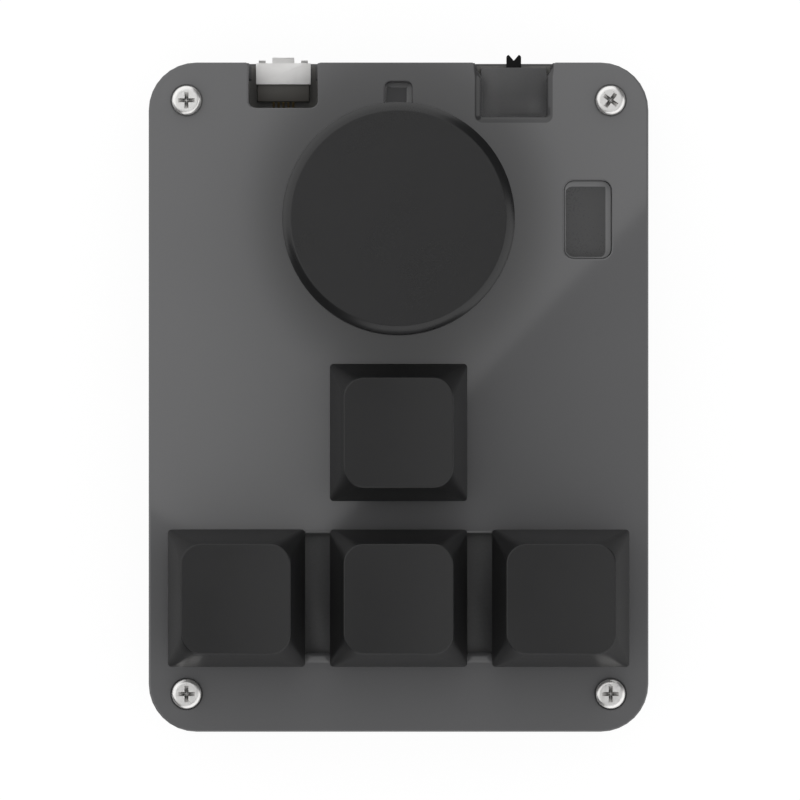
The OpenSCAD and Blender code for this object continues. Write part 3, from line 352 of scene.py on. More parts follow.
bottom_bm = round_edges(cad_copy("bottom_case"), CASE_FOOT_R, CASE_FOOT_STEPS, lambda p: (
    p.z < case_lo.z + WELD_MM and from_side(p) > -CASE_RIM_BAND_MM
    and not (abs(p.x) < CASE_HOLLOW_MM[0] and abs(p.y) < CASE_HOLLOW_MM[1])))
underside = [face for face in bottom_bm.faces if face.calc_center_median().z < case_lo.z + WELD_MM]
bmesh.ops.inset_region(bottom_bm, faces=underside, thickness=SUPPORT_MM, use_even_offset=True)
round_edges(bottom_bm, CASE_LIP_R, 2, lambda p: p.z > case_hi.z - WELD_MM and from_side(p) > -CASE_LIP_R / 2)
place_piece("bottom_case_moulding", bottom_bm, case_plastic, "case_shell", "bottom_case")

# Rubber feet
# Four black rubber discs are pressed into the seats in the floor. They have soft rims and three fine
# grip grooves turned into the sole.
FOOT_R_MM = 4.0
FOOT_SOFT_MM = 0.4
FOOT_SOFT_STEPS = 5
FOOT_TOP_EDGE_MM = 0.1
FOOT_GROOVES_MM = (1.2, 2.2, 3.0)
GROOVE_HALF_MM = 0.13
GROOVE_DEPTH_MM = 0.18
TURN_STEPS = 64
RUBBER_BLACK = (0.012, 0.012, 0.013, 1)


def ring(bm, radius, height, steps):
    """Vertices on a level circle, or one vertex where it has no radius."""
    turns = [2 * math.pi * i / steps for i in range(steps if radius > 0 else 1)]
    return [bm.verts.new((radius * math.cos(turn), radius * math.sin(turn), height)) for turn in turns]


def bridge(bm, rings):
    """Faces between each ring of vertices and the next."""
    for lower, upper in zip(rings, rings[1:]):
        steps = max(len(lower), len(upper))
        for i in range(steps):
            j = (i + 1) % steps
            corners = [row[k % len(row)] for row, k in ((lower, i), (lower, j), (upper, j), (upper, i))]
            bm.faces.new(list(dict.fromkeys(corners)))


def turned(profile, steps=TURN_STEPS, at=(0, 0)):
    """A solid turned from a profile of (radius, height). One that starts off the axis makes a ring."""
    bm = bmesh.new()
    rings = [ring(bm, radius, height, steps) for radius, height in profile]
    bridge(bm, rings + (rings[:1] if profile[0][0] > 0 else []))
    bmesh.ops.recalc_face_normals(bm, faces=bm.faces)
    bmesh.ops.translate(bm, verts=bm.verts, vec=(*at, 0))
    return bm


def quarter_turn(steps):
    """Angles from 0 to a right angle."""
    return [math.pi / 2 * step / steps for step in range(steps + 1)]


def at_corners(x, y):
    return [(sx * x, sy * y) for sx in (-1, 1) for sy in (-1, 1)]


def geometry_tree(name, inputs):
    """An empty Geometry Nodes group, the keys of its inputs and the sockets of its input node."""
    tree = bpy.data.node_groups.new(name, "GeometryNodeTree")
    face = tree.interface
    keys = {label: face.new_socket(label, in_out="INPUT", socket_type="NodeSocket" + kind).identifier
            for label, kind in [("Geometry", "Geometry"), *inputs, ("Finish", "Material")]}
    face.new_socket("Geometry", in_out="OUTPUT", socket_type="NodeSocketGeometry")
    return tree, keys, tree.nodes.new("NodeGroupInput").outputs


def give_out(tree, geometry, finish):
    """Makes the geometry real, in its finish, at the group's output."""
    real = add(tree, "GeometryNodeRealizeInstances", {"Geometry": geometry}).outputs[0]
    done = add(tree, "GeometryNodeSetMaterial", {"Geometry": real, "Material": finish}).outputs[0]
    tree.links.new(done, tree.nodes.new("NodeGroupOutput").inputs[0])


def grown_mesh(name, tree, keys, points, values):
    """The plain mesh that a Geometry Nodes group makes of a mesh of points."""
    carrier = new_object(name + "_carrier", points)
    layout = carrier.modifiers.new("layout", "NODES")
    layout.node_group = tree
    for label, value in values.items():
        layout[keys[label]] = value
    mesh = bpy.data.meshes.new_from_object(carrier.evaluated_get(bpy.context.evaluated_depsgraph_get()))
    mesh.name = name
    bpy.data.objects.remove(carrier)
    return mesh


spread, spread_keys, given = geometry_tree("unit_on_points", [("Unit", "Object")])
shape = add(spread, "GeometryNodeObjectInfo", {"Object": given["Unit"]}).outputs["Geometry"]
turn = add(spread, "GeometryNodeInputNamedAttribute", {"Name": "turn"}, data_type="FLOAT")
axis = add(spread, "ShaderNodeCombineXYZ", {"Z": turn.outputs["Attribute"]}).outputs[0]
placed = add(spread, "GeometryNodeInstanceOnPoints", {
    "Points": given["Geometry"], "Instance": shape, "Rotation": axis}).outputs[0]
give_out(spread, placed, given["Finish"])


def copies_on_points(name, unit, spots, material):
    """Geometry Nodes put the unit on every spot of (x, y, z, turn), and the result is made a plain mesh."""
    points = bpy.data.meshes.new(name + "_spots")
    points.from_pydata([Vector(spot[:3]) * MM for spot in spots], [], [])
    turns = points.attributes.new("turn", "FLOAT", "POINT")
    turns.data.foreach_set("value", [spot[3] for spot in spots])
    unit_object = new_object(name + "_unit", mesh_from(name + "_unit", unit))
    mesh = grown_mesh(name, spread, spread_keys, points, {"Unit": unit_object, "Finish": material})
    bpy.data.objects.remove(unit_object)
    return mesh


rubber = moulded("rubber", RUBBER_BLACK, 0.72, grain=9000, depth=10, contrast=0.25)
foot_hi = box_mm("rubber_feet")[1]
sole = [(0, 0)]
for groove in FOOT_GROOVES_MM:
    sole += [(groove - GROOVE_HALF_MM, 0), (groove, GROOVE_DEPTH_MM), (groove + GROOVE_HALF_MM, 0)]
sole += [(FOOT_R_MM - FOOT_SOFT_MM * (1 - math.sin(turn)), FOOT_SOFT_MM * (1 - math.cos(turn)))
         for turn in quarter_turn(FOOT_SOFT_STEPS)]
sole += [(FOOT_R_MM, foot_hi.z - FOOT_TOP_EDGE_MM), (FOOT_R_MM - FOOT_TOP_EDGE_MM, foot_hi.z), (0, foot_hi.z)]
foot_spots = [(x, y, 0, 0) for x, y in at_corners(foot_hi.x - FOOT_R_MM, foot_hi.y - FOOT_R_MM)]
feet = copies_on_points("rubber_feet_discs", turned(sole), foot_spots, rubber)
place_piece("rubber_feet_discs", feet, rubber, "foot_rubber", "rubber_feet")

# Threaded inserts
# Four brass inserts are pressed hot into the corner bosses. A diamond of ribs round each one grips the
# plastic, with a plain collar at its top.
SCREW_AT_MM = (28.0, 39.2)
INSERT_R_MM = 1.6
INSERT_BORE_MM = 1.03
INSERT_RIBS = 24
INSERT_RIB_MM = 0.14
INSERT_LEAN = math.radians(20)
INSERT_NECK_MM = 0.1
INSERT_WAIST_MM = 0.15
INSERT_LEAD_MM = 0.35
INSERT_STEP_MM = 0.01
COLLAR_MM = 0.5
STAINS_PER_METRE = 900
STAIN_CONTRAST = 0.12
SCRATCH_DEPTH_MM = 0.002
BRASS = (0.72, 0.50, 0.20, 1)


def metal(name, colour, roughness, scratch=0.08, stretch=(1.0, 1.0, 1.0), grain=2500, bare=1.0):
    """Metal with fine directional scratches and slow stains. A matt plating is less bare."""
    material, tree = bare_material(name)
    lines = noise(tree, vector_calc(tree, "MULTIPLY", object_place(tree), stretch), grain)
    skin = skin_node(tree, colour, STAINS_PER_METRE, 0, STAIN_CONTRAST, roughness)
    bump = add(tree, "ShaderNodeBump", {"Height": lines, "Distance": SCRATCH_DEPTH_MM * MM})
    show(tree, add(tree, "ShaderNodeBsdfPrincipled", {
        "Base Color": skin["Colour"], "Metallic": bare, "Normal": bump.outputs[0],
        "Roughness": calc(tree, "MULTIPLY_ADD", lines, scratch, skin["Roughness"])}))
    return material


brass = metal("brass", BRASS, 0.28)
insert_lo, insert_hi = box_mm("threaded_inserts")
insert_l = insert_hi.z - insert_lo.z
half_l = insert_l / 2
sides = 2 * INSERT_RIBS
insert_bm = bmesh.new()
rings = []
for level, ribbed in ((0.0, False), (INSERT_LEAD_MM, False),
                      (INSERT_LEAD_MM + INSERT_STEP_MM, True), (half_l - INSERT_WAIST_MM, True),
                      (half_l - INSERT_WAIST_MM + INSERT_STEP_MM, False),
                      (half_l + INSERT_WAIST_MM - INSERT_STEP_MM, False),
                      (half_l + INSERT_WAIST_MM, True), (insert_l - COLLAR_MM, True),
                      (insert_l - COLLAR_MM + INSERT_STEP_MM, False), (insert_l, False)):
    lean = INSERT_LEAN * (1 if level < half_l else -1) * (level - half_l) / insert_l if ribbed else 0
    neck = 0.0 if level > half_l + 1 else INSERT_NECK_MM
    points = []
    for i in range(sides):
        turn = 2 * math.pi * i / sides + lean
        radius = INSERT_R_MM - (INSERT_RIB_MM * (i % 2) if ribbed else neck)
        points.append(insert_bm.verts.new((radius * math.cos(turn), radius * math.sin(turn), level)))
    rings.append(points)
rings += [ring(insert_bm, INSERT_BORE_MM, level, sides) for level in (insert_l, 0.0)]
bridge(insert_bm, rings + rings[:1])
bmesh.ops.recalc_face_normals(insert_bm, faces=insert_bm.faces)
insert_spots = [(x, y, insert_lo.z, 0) for x, y in at_corners(*SCREW_AT_MM)]
inserts = copies_on_points("insert_sleeves", insert_bm, insert_spots, brass)
place_piece("insert_sleeves", inserts, brass, "insert_brass", "threaded_inserts")

# Battery
# A flat lithium cell in silver foil lies between low fences on the floor. Two insulated leads rise from
# its sealed end to a small nylon plug, which sits in a socket under the board.
FOIL_SILVER = (0.62, 0.62, 0.64, 1)
NYLON_WHITE = (0.72, 0.70, 0.64, 1)
LEAD_RED = (0.45, 0.012, 0.010, 1)
CELL_SOFT_MM = 0.35
CONNECTOR_SOFT_MM = 0.12


def soft_piece(name, node, soft, material, slot, body="root", steps=2):
    """A piece with the CAD node's own shape, its sharp edges rounded."""
    place_piece(name, round_edges(cad_copy(node), soft, steps), material, slot, node, body)


def dress(node, material):
    """Gives a CAD node whose shape is right its finish."""
    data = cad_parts[node].data
    data.materials.clear()
    data.materials.append(material)


foil = metal("foil", FOIL_SILVER, 0.30, scratch=0.15, stretch=(1.0, 0.1, 1.0), grain=700)
nylon = moulded("nylon", NYLON_WHITE, 0.48, grain=3000, depth=4, contrast=0.08, wear=0.2)
insulation = moulded("insulation", LEAD_RED, 0.42, grain=5000, depth=3, contrast=0.15)
soft_piece("battery_pouch", "battery_cell", CELL_SOFT_MM, foil, "battery_foil", steps=3)
for node in ("battery_plug", "battery_socket"):
    soft_piece(node + "_shell", node, CONNECTOR_SOFT_MM, nylon, "connector_nylon")
dress("battery_leads", insulation)

# Circuit board
# The board is 1.6 mm glass laminate under a dark matt solder mask. Tinned pads ring every drilled
# lead, on both faces.
MASK_GREY = (0.185, 0.181, 0.172, 1)
TIN = (0.66, 0.66, 0.65, 1)
KEY_NAMES = ("up", "left", "down", "right")
KNOB_AT_MM = (0.0, 23.45)
PAD_MM = 0.04
PAD_STEPS = 20
PIN_GRID_MM = 1.27
SWITCH_PINS = ((-3, 2), (2, 4))
SWITCH_PAD_MM = (1.4, 2.3)
ENCODER_PAD_MM = (1.15, 2.0)
ENCODER_PINS_MM = ((-2.5, -6.85), (0, -6.85), (2.5, -6.85), (-2.5, 6.85), (2.5, 6.85))


def bare_copies(name, unit, spots, material):
    """Small pieces of the scene's own on the root, which stand for no CAD node."""
    piece = new_object(name, copies_on_points(name, unit, spots, material))
    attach(piece, "root")


solder_mask = moulded("solder_mask", MASK_GREY, 0.55, grain=1300, depth=8, contrast=0.16)
tin = metal("tin", TIN, 0.34)
dress("main_board", solder_mask)
board_lo, board_hi = box_mm("main_board")
key_centres = {name: [sum(axis) * 500 for axis in zip(*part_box("switch_stem_" + name))] for name in KEY_NAMES}
switch_pins = [(x + col * PIN_GRID_MM, y + row * PIN_GRID_MM)
               for x, y, z in key_centres.values() for col, row in SWITCH_PINS]
encoder_pins = [(KNOB_AT_MM[0] + x, KNOB_AT_MM[1] + y) for x, y in ENCODER_PINS_MM]
for label, (bore, outer), pins in (("switch", SWITCH_PAD_MM, switch_pins),
                                   ("encoder", ENCODER_PAD_MM, encoder_pins)):
    profile = [(bore / 2, 0), (outer / 2, 0), ((outer - PAD_MM) / 2, PAD_MM), (bore / 2, PAD_MM)]
    for side, level in (("top", board_hi.z), ("bottom", board_lo.z - PAD_MM)):
        pads = [(x, y, level, 0) for x, y in pins]
        bare_copies(f"{label}_pads_{side}", turned(profile, PAD_STEPS), pads, tin)

# Chips on the board
# The controller is a moulded square package with bent tin legs on four sides. Ceramic chips, a metal
# crystal can and a regulator stand round it, and each switch has its own diode.
CHIP_MM = 7.0
CHIP_SOFT_MM = 0.1
CHIP_LEGS = 8
LEG_PITCH_MM = 0.72
LEG_MM = (0.26, 0.62, 0.13)
LEG_SHOULDER_MM = 0.45
DOT_MM = 0.35
DOT_IN_MM = 0.9
DOT_DEEP_MM = 0.05
DOT_OVER_MM = 0.005
DOT_STEPS = 24
CHIP_BLACK = (0.014, 0.014, 0.015, 1)
CERAMIC_TAN = (0.21, 0.15, 0.095, 1)
END_CAP_SHARE = 0.24
BODY_INSET_MM = 0.02
BODY_SOFT_MM = 0.05
END_CAP_SOFT_MM = 0.06


def soft_boxes(boxes, soft=0.0):
    """Solid blocks with softened edges, each from its low and high corner."""
    bm = bmesh.new()
    for low, high in boxes:
        for vert in bmesh.ops.create_cube(bm, size=1)["verts"]:
            for axis in range(3):
                vert.co[axis] = low[axis] if vert.co[axis] < 0 else high[axis]
    if soft:
        bmesh.ops.bevel(bm, geom=list(bm.edges), offset=soft, segments=2, profile=0.5, affect="EDGES")
    return bm


def carve(bm, cutters, operation="DIFFERENCE"):
    """The solid after each cutter is taken out of it, or joined to it."""
    objects = []
    for solid in [bm, *cutters]:
        mesh = bpy.data.meshes.new("carving")
        solid.to_mesh(mesh)
        solid.free()
        objects.append(new_object("carving", mesh))
    for cutter in objects[1:]:
        tool = objects[0].modifiers.new("cut", "BOOLEAN")
        tool.operation = operation
        tool.object = cutter
        tool.solver = "EXACT"
    graph = bpy.context.evaluated_depsgraph_get()
    carved = bmesh.new()
    carved.from_mesh(objects[0].evaluated_get(graph).to_mesh())
    for used in objects:
        mesh = used.data
        bpy.data.objects.remove(used)
        bpy.data.meshes.remove(mesh)
    return carved


def islands(bm):
    """The low and high corner of every loose part."""
    left = set(bm.verts)
    while left:
        island, stack = set(), [next(iter(left))]
        while stack:
            vert = stack.pop()
            if vert not in island:
                island.add(vert)
                stack += [edge.other_vert(vert) for edge in vert.link_edges]
        left -= island
        yield [Vector([pick(v.co[axis] for v in island) for axis in range(3)]) for pick in (min, max)]


chip_resin = moulded("chip_resin", CHIP_BLACK, 0.6, grain=6000, depth=4, contrast=0.2)
ceramic = moulded("ceramic", CERAMIC_TAN, 0.5, grain=3000, depth=3, contrast=0.25)
chip_lo, chip_hi = box_mm("microcontroller")
chip_at = (chip_lo + chip_hi) / 2
dot = turned([(0, chip_hi.z + DOT_OVER_MM), (DOT_MM, chip_hi.z), (DOT_MM, chip_hi.z - DOT_DEEP_MM),
              (0, chip_hi.z - DOT_DEEP_MM)], DOT_STEPS, (chip_lo.x + DOT_IN_MM, chip_hi.y - DOT_IN_MM))
chip_bm = carve(round_edges(cad_copy("microcontroller"), CHIP_SOFT_MM), [dot])
place_piece("controller_package", chip_bm, chip_resin, "chip_resin", "microcontroller")
wide, reach, thick = LEG_MM
leg = soft_boxes([((0, -wide / 2, LEG_SHOULDER_MM - thick), (reach / 2, wide / 2, LEG_SHOULDER_MM)),
                  ((reach / 2 - thick, -wide / 2, 0), (reach / 2, wide / 2, LEG_SHOULDER_MM - thick)),
                  ((reach / 2, -wide / 2, 0), (reach, wide / 2, thick))])
leg_spots = []
for quarter in range(4):
    turn = math.pi / 2 * quarter
    for i in range(CHIP_LEGS):
        along = (i - (CHIP_LEGS - 1) / 2) * LEG_PITCH_MM
        leg_spots.append((chip_at.x + CHIP_MM / 2 * math.cos(turn) - along * math.sin(turn),
                          chip_at.y + CHIP_MM / 2 * math.sin(turn) + along * math.cos(turn), chip_lo.z, turn))
bare_copies("controller_legs", leg, leg_spots, tin)

parts_bm = cad_copy("board_components")
bodies = []
ends = []
for low, high in islands(parts_bm):
    inset = Vector((BODY_INSET_MM,) * 3)
    bodies.append((low + inset, high - inset))
    axis = 0 if high.x - low.x > high.y - low.y else 1
    cap = (high[axis] - low[axis]) * END_CAP_SHARE
    first, last = high.copy(), low.copy()
    first[axis] = low[axis] + cap
    last[axis] = high[axis] - cap
    ends += [(low, first), (last, high)]
parts_bm.free()
for name, boxes, soft, material, slot in (("bodies", bodies, BODY_SOFT_MM, ceramic, "small_parts"),
                                          ("ends", ends, END_CAP_SOFT_MM, tin, "tinned_pins")):
    boxes.sort(key=lambda pair: (round(pair[0].x, 3), round(pair[0].y, 3)))
    place_piece("component_" + name, soft_boxes(boxes, soft), material, slot, "board_components")

# Status lamp and mode switch
# A clear resin lamp sits on the board under the status window. A small push switch with a round
# plunger stands under the mode button.
LAMP_RESIN = (0.62, 0.60, 0.48, 1)
LAMP_SOFT_MM = 0.14
LAMP_FOOT_MM = 0.3
SWITCH_BLACK = (0.016, 0.016, 0.017, 1)
PLUNGER_GREY = (0.30, 0.30, 0.30, 1)
lamp_resin = moulded("lamp_resin", LAMP_RESIN, 0.18, grain=2500, depth=1, contrast=0.1)
black_nylon = moulded("black_nylon", SWITCH_BLACK, 0.46, grain=5200, depth=6, contrast=0.2, wear=0.3)
grey_acetal = moulded("grey_acetal", PLUNGER_GREY, 0.4, grain=5200, depth=3, contrast=0.1)
lamp_bm = round_edges(cad_copy("status_led"), LAMP_SOFT_MM, 3, lambda p: p.z > board_hi.z + LAMP_FOOT_MM)
place_piece("lamp_lens", lamp_bm, lamp_resin, "led_lens", "status_led")
soft_piece("mode_switch_case", "tact_switch", 0.12, black_nylon, "black_plastic")
soft_piece("mode_switch_plunger", "tact_plunger", 0.15, grey_acetal, "black_plastic", "mode_button", 3)

# Micro USB receptacle
# The shell is nickel-plated sheet folded round a black insulator, with flared lips at its mouth. Five
# gilt contacts lie under the tongue and come out at its back as solder tails.
NICKEL = (0.93, 0.922, 0.91, 1)
GILT = (0.42, 0.31, 0.15, 1)
USB_RESIN = (0.063, 0.059, 0.052, 1)
nickel = metal("nickel", NICKEL, 0.52, scratch=0.12, stretch=(1.0, 0.15, 1.0), grain=3500, bare=0.6)
gilt = metal("gilt", GILT, 0.24)
usb_resin = moulded("usb_resin", USB_RESIN, 0.5, grain=5200, depth=4, contrast=0.15)
soft_piece("usb_sheet_shell", "usb_shell", 0.07, nickel, "usb_steel")
soft_piece("usb_core", "usb_insulator", 0.1, usb_resin, "black_plastic")
soft_piece("usb_gilt_contacts", "usb_contacts", 0.03, gilt, "contact_gold")

# Slide switch
# A blackened steel frame is folded over a black base with four tin pins. The carriage slides behind
# its front slot, and its forked tab reaches past the rear edge.
BLACKED_STEEL = (0.072, 0.072, 0.073, 1)
SLIDER_BLACK = (0.005, 0.005, 0.005, 1)
FRAME_PAINTED_LIGHT_MM = 3.5
FRAME_PAINTED_LIGHT_POWER = -0.8


def paint_shading_by_openness(material, reach_mm, power):
    """Paints light and shade into a colour by how open each point is. A power above 0 darkens the hollows; a
    power below 0 lightens the dark corners and evens them out.
    """
    tree = material.node_tree
    openness = add(tree, "ShaderNodeAmbientOcclusion", {"Distance": reach_mm * MM}, samples=8).outputs["AO"]
    scale_colour(material, calc(tree, "POWER", openness, power))


blacked_steel = moulded("blacked_steel", BLACKED_STEEL, 0.40, grain=3200, depth=3, contrast=0.2, wear=0.5,
                        Metallic=0.2)
# Painted light: the frame's colour is lightened where it is shut in, evening out the shade in the corners of
# the notch.
paint_shading_by_openness(blacked_steel, FRAME_PAINTED_LIGHT_MM, FRAME_PAINTED_LIGHT_POWER)
slider_black = moulded("slider_black", SLIDER_BLACK, 0.6, grain=5200, depth=4, Specular_IOR_Level=0.15)
soft_piece("slide_pins", "slide_switch_pins", 0.06, tin, "tinned_pins")
soft_piece("slide_base", "slide_switch_body", 0.1, black_nylon, "black_plastic")
soft_piece("slide_carriage", "slide_switch_slider", 0.1, slider_black, "black_plastic", "slider")
soft_piece("slide_frame", "slide_switch_frame", 0.1, blacked_steel, "blackened_steel")

# Push encoder
# A black base holds a snap dome under a plunger, and a pale rotor with its code track turns over it. A
# bent steel frame with a threaded bushing, a washer and a nut hold it to the cover.
ENCODER_STEEL = (0.56, 0.56, 0.555, 1)
ROTOR_PALE = (0.58, 0.57, 0.50, 1)
THREAD_PITCH_MM = 0.75
THREAD_DEPTH_MM = 0.2
THREAD_FROM_MM = 0.3
THREAD_END_MM = 0.2
BUSHING_R_MM = 3.5
BUSHING_EDGE_MM = 0.3
SHAFT_BORE_MM = 3.03
encoder_steel = metal("encoder_steel", ENCODER_STEEL, 0.30, scratch=0.12, stretch=(1.0, 0.2, 1.0))
pale_acetal = moulded("pale_acetal", ROTOR_PALE, 0.42, grain=4200, depth=3, contrast=0.06, wear=0.2)
soft_piece("encoder_tin_pins", "encoder_pins", 0.07, tin, "tinned_pins")
soft_piece("encoder_black_base", "encoder_base", 0.15, black_nylon, "black_plastic")
soft_piece("encoder_push_stud", "encoder_plunger", 0.1, black_nylon, "black_plastic", "knob_plunger")
soft_piece("encoder_code_disc", "encoder_rotor", 0.1, pale_acetal, "rotor_plastic", "rotor")
soft_piece("encoder_bent_frame", "encoder_housing", 0.12, encoder_steel, "encoder_steel")
soft_piece("encoder_flat_washer", "encoder_washer", 0.08, encoder_steel, "encoder_steel")
soft_piece("encoder_flatted_shaft", "encoder_shaft", 0.12, encoder_steel, "encoder_steel", "knob")

dome = place_piece("encoder_snap_dome", cad_copy("encoder_push_dome"), encoder_steel, "spring_steel",
                   "encoder_push_dome")
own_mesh(dome)

bushing_lo, bushing_hi = box_mm("encoder_bushing")
level = box_mm("encoder_housing")[1].z + THREAD_FROM_MM
profile = [(SHAFT_BORE_MM, bushing_lo.z), (BUSHING_R_MM, bushing_lo.z), (BUSHING_R_MM, level)]
while level + THREAD_PITCH_MM < bushing_hi.z - THREAD_END_MM:
    level += THREAD_PITCH_MM
    profile += [(BUSHING_R_MM - THREAD_DEPTH_MM, level - THREAD_PITCH_MM / 2), (BUSHING_R_MM, level)]
profile += [(BUSHING_R_MM, bushing_hi.z - BUSHING_EDGE_MM), (BUSHING_R_MM - BUSHING_EDGE_MM, bushing_hi.z),
            (SHAFT_BORE_MM, bushing_hi.z)]
bushing_bm = turned(profile, at=KNOB_AT_MM)
place_piece("encoder_threaded_bushing", bushing_bm, encoder_steel, "encoder_steel", "encoder_bushing")

# The nut's corners are turned off at both faces, as on every pressed hexagon nut.
NUT_FLATS_MM = 10.0
NUT_FACE_IN_MM = 0.6
NUT_FACE_OUT_MM = 0.4
NUT_CORNER_MM = (0.3, 0.45)
nut_lo, nut_hi = box_mm("encoder_nut")
face_r = NUT_FLATS_MM / 2 - NUT_FACE_IN_MM
corner_r = NUT_FLATS_MM / 2 / math.cos(math.pi / 6) + NUT_CORNER_MM[0]
low, high = nut_lo.z - NUT_FACE_OUT_MM, nut_hi.z + NUT_FACE_OUT_MM
turned_off = turned([(0, low), (face_r, low), (corner_r, nut_lo.z + NUT_CORNER_MM[1]),
                     (corner_r, nut_hi.z - NUT_CORNER_MM[1]), (face_r, high), (0, high)], at=KNOB_AT_MM)
nut_bm = carve(cad_copy("encoder_nut"), [turned_off], "INTERSECT")
place_piece("encoder_hex_nut", nut_bm, encoder_steel, "encoder_steel", "encoder_nut")

# Switch plate
# The plate is 1.5 mm steel, cut and powder coated in black. The key switches snap into its square
# holes and the screws pass through its corners.
POWDER_BLACK = (0.070, 0.070, 0.071, 1)
powder_coat = moulded("powder_coat", POWDER_BLACK, 0.52, grain=2600, depth=20, contrast=0.3)
soft_piece("plate_sheet", "switch_plate", 0.12, powder_coat, "plate_steel")

# Key switches
# Each switch has a black nylon housing in two halves, a brown stem with a cross and a drawn steel
# spring. Two gilt contacts stand in its lower half and are soldered to the board.
STEM_BROWN = (0.17, 0.045, 0.020, 1)
SPRING_STEEL = (0.60, 0.60, 0.60, 1)
SPRING_MM = 4.2
SPRING_WIRE_MM = 0.24
SPRING_CURLS = 9
SPRING_STEPS = 20
SPRING_SIDES = 8
stem_brown = moulded("stem_brown", STEM_BROWN, 0.38, grain=5200, depth=3, contrast=0.1, wear=0.2)
spring_steel = metal("spring_steel", SPRING_STEEL, 0.26)

# Geometry Nodes wind the wire of a spring, in millimetres
winding, winding_keys, given = geometry_tree(
    "switch_spring_winding", [(label, "Float") for label in ("Diameter", "Turns", "Height", "Wire", "Lift")])
radius = calc(winding, "MULTIPLY", given["Diameter"], 0.5)
helix = add(winding, "GeometryNodeCurveSpiral", {
    "Resolution": SPRING_STEPS, "Rotations": given["Turns"], "Start Radius": radius, "End Radius": radius,
    "Height": given["Height"]}).outputs[0]
gauge = calc(winding, "MULTIPLY", given["Wire"], 0.5)
section = add(winding, "GeometryNodeCurvePrimitiveCircle", {"Resolution": SPRING_SIDES, "Radius": gauge})
wire = add(winding, "GeometryNodeCurveToMesh", {
    "Curve": helix, "Profile Curve": section.outputs[0], "Fill Caps": True}).outputs[0]
lift = add(winding, "ShaderNodeCombineXYZ", {"Z": given["Lift"]}).outputs[0]
raised = add(winding, "GeometryNodeTransform", {"Geometry": wire, "Translation": lift}).outputs[0]
give_out(winding, raised, given["Finish"])

for name, (x, y, z) in key_centres.items():
    for piece, node, soft, material, slot, body in (
            ("lower_half", "bottom_housing", 0.15, black_nylon, "housing_plastic", "root"),
            ("gilt_leaves", "contacts", 0.04, gilt, "contact_gold", "root"),
            ("cross_stem", "stem", 0.1, stem_brown, "stem_plastic", "key_" + name),
            ("upper_half", "top_housing", 0.2, black_nylon, "housing_plastic", "root")):
        soft_piece(f"switch_{piece}_{name}", f"switch_{node}_{name}", soft, material, slot, body)
    spring_lo, spring_hi = box_mm("switch_spring_" + name)
    height = spring_hi.z - spring_lo.z
    sizes = {"Diameter": SPRING_MM, "Turns": float(SPRING_CURLS), "Height": height - SPRING_WIRE_MM,
             "Wire": SPRING_WIRE_MM, "Lift": spring_lo.z + SPRING_WIRE_MM / 2, "Finish": spring_steel}
    no_points = bpy.data.meshes.new("no_points")
    wound = grown_mesh("switch_wound_spring_" + name, winding, winding_keys, no_points, sizes)
    wound.transform(MM_TO_M @ Matrix.Translation((x, y, 0)))
    spring = place_piece(wound.name, wound, spring_steel, "spring_steel", "switch_spring_" + name)
    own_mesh(spring)

# Top cover
# A flat moulded plate, 2 mm thick, with a shallow rim that drops over the switch plate. Its edges are
# softened by the mould, and the switch notch in the rear edge has a wide soft lip.
COVER_SKIN_MM = 2.0
COVER_RIM_MM = 1.0
CASE_CORNER_MM = 6.3
EDGE_SOFT_MM = 0.2
NOTCH_CORNER_MM = 1.0
MOUTH_CORNER_MM = 0.45
MOUTH_BLEND_MM = 1.6
USB_NOTCH_MM = (-15.25, 9.1, 6.0, 0.2)
SLIDE_NOTCH_MM = (15.25, 10.3, 8.0, 0.9)
LIP_SHADE = 0.52
LIP_OVER_MM = 0.1
LIP_FADE_MM = 0.012
KEY_PITCH_MM = (21.36, 21.84)
KEY_WINDOW_MM = 17.0
KEY_WINDOW_CORNER_MM = 1.0
KEY_WINDOW_SOFT_MM = 0.35
GAP_LIP_MM = 1.3
GAP_LIP_HALF_MM = 2.4
GAP_LIP_BLEND_MM = 0.8
POCKET_SOFT_MM = 0.15
HOLE_SOFT_MM = 0.1
BUTTON_OPENING_MM = (25.0, 23.45, 6.25, 10.3, 1.3)
STATUS_OPENING_MM = (0.0, 39.14, 3.6, 5.0, 0.8)
BUSHING_HOLE_MM = 7.2
ENCODER_POCKET_MM = (14.0, 13.8, 0.1)
ENCODER_POCKET_TOP_MM = 17.3
SCREW_HOLE_MM = 2.2
SCREW_SEAT_MM = (2.15, 0.4)
ARC_STEPS = 8
RIM_STEPS = 6
SIDE_STEP_MM = 0.5
MITRE_LIMIT = 0.6
HOLE_STEP_MM = 0.6
SEAM_SOFT_MM = 0.15
CUT_OVER_MM = 1.0
BOX_SIGNS = ((-1, -1), (1, -1), (1, 1), (-1, 1))


def pairs(points):
    """Each point of a closed loop with the next one."""
    return zip(points, points[1:] + points[:1])


def cornered(corners, steps=ARC_STEPS):
    """A closed outline from corners of (x, y, radius), each turned into an arc."""
    outline = []
    for before, (x, y, radius), after in zip(corners[-1:] + corners, corners, corners[1:] + corners[:1]):
        here = Vector((x, y))
        back = (Vector(before[:2]) - here).normalized()
        ahead = (Vector(after[:2]) - here).normalized()
        half = back.angle(ahead) / 2
        centre = here + (back + ahead).normalized() * radius / math.sin(half)
        first = here + back * radius / math.tan(half) - centre
        sweep = (math.pi - 2 * half) * (1 if back.cross(ahead) < 0 else -1)
        outline += [centre + Matrix.Rotation(sweep * step / steps, 2) @ first for step in range(steps + 1)]
    return outline


def box_corners(x, y, width, depth, radius):
    return [(x + sx * width / 2, y + sy * depth / 2, radius) for sx, sy in BOX_SIGNS]


def circle_outline(x, y, radius, steps=48):
    turns = [2 * math.pi * step / steps for step in range(steps)]
    return [Vector((x + radius * math.cos(turn), y + radius * math.sin(turn))) for turn in turns]


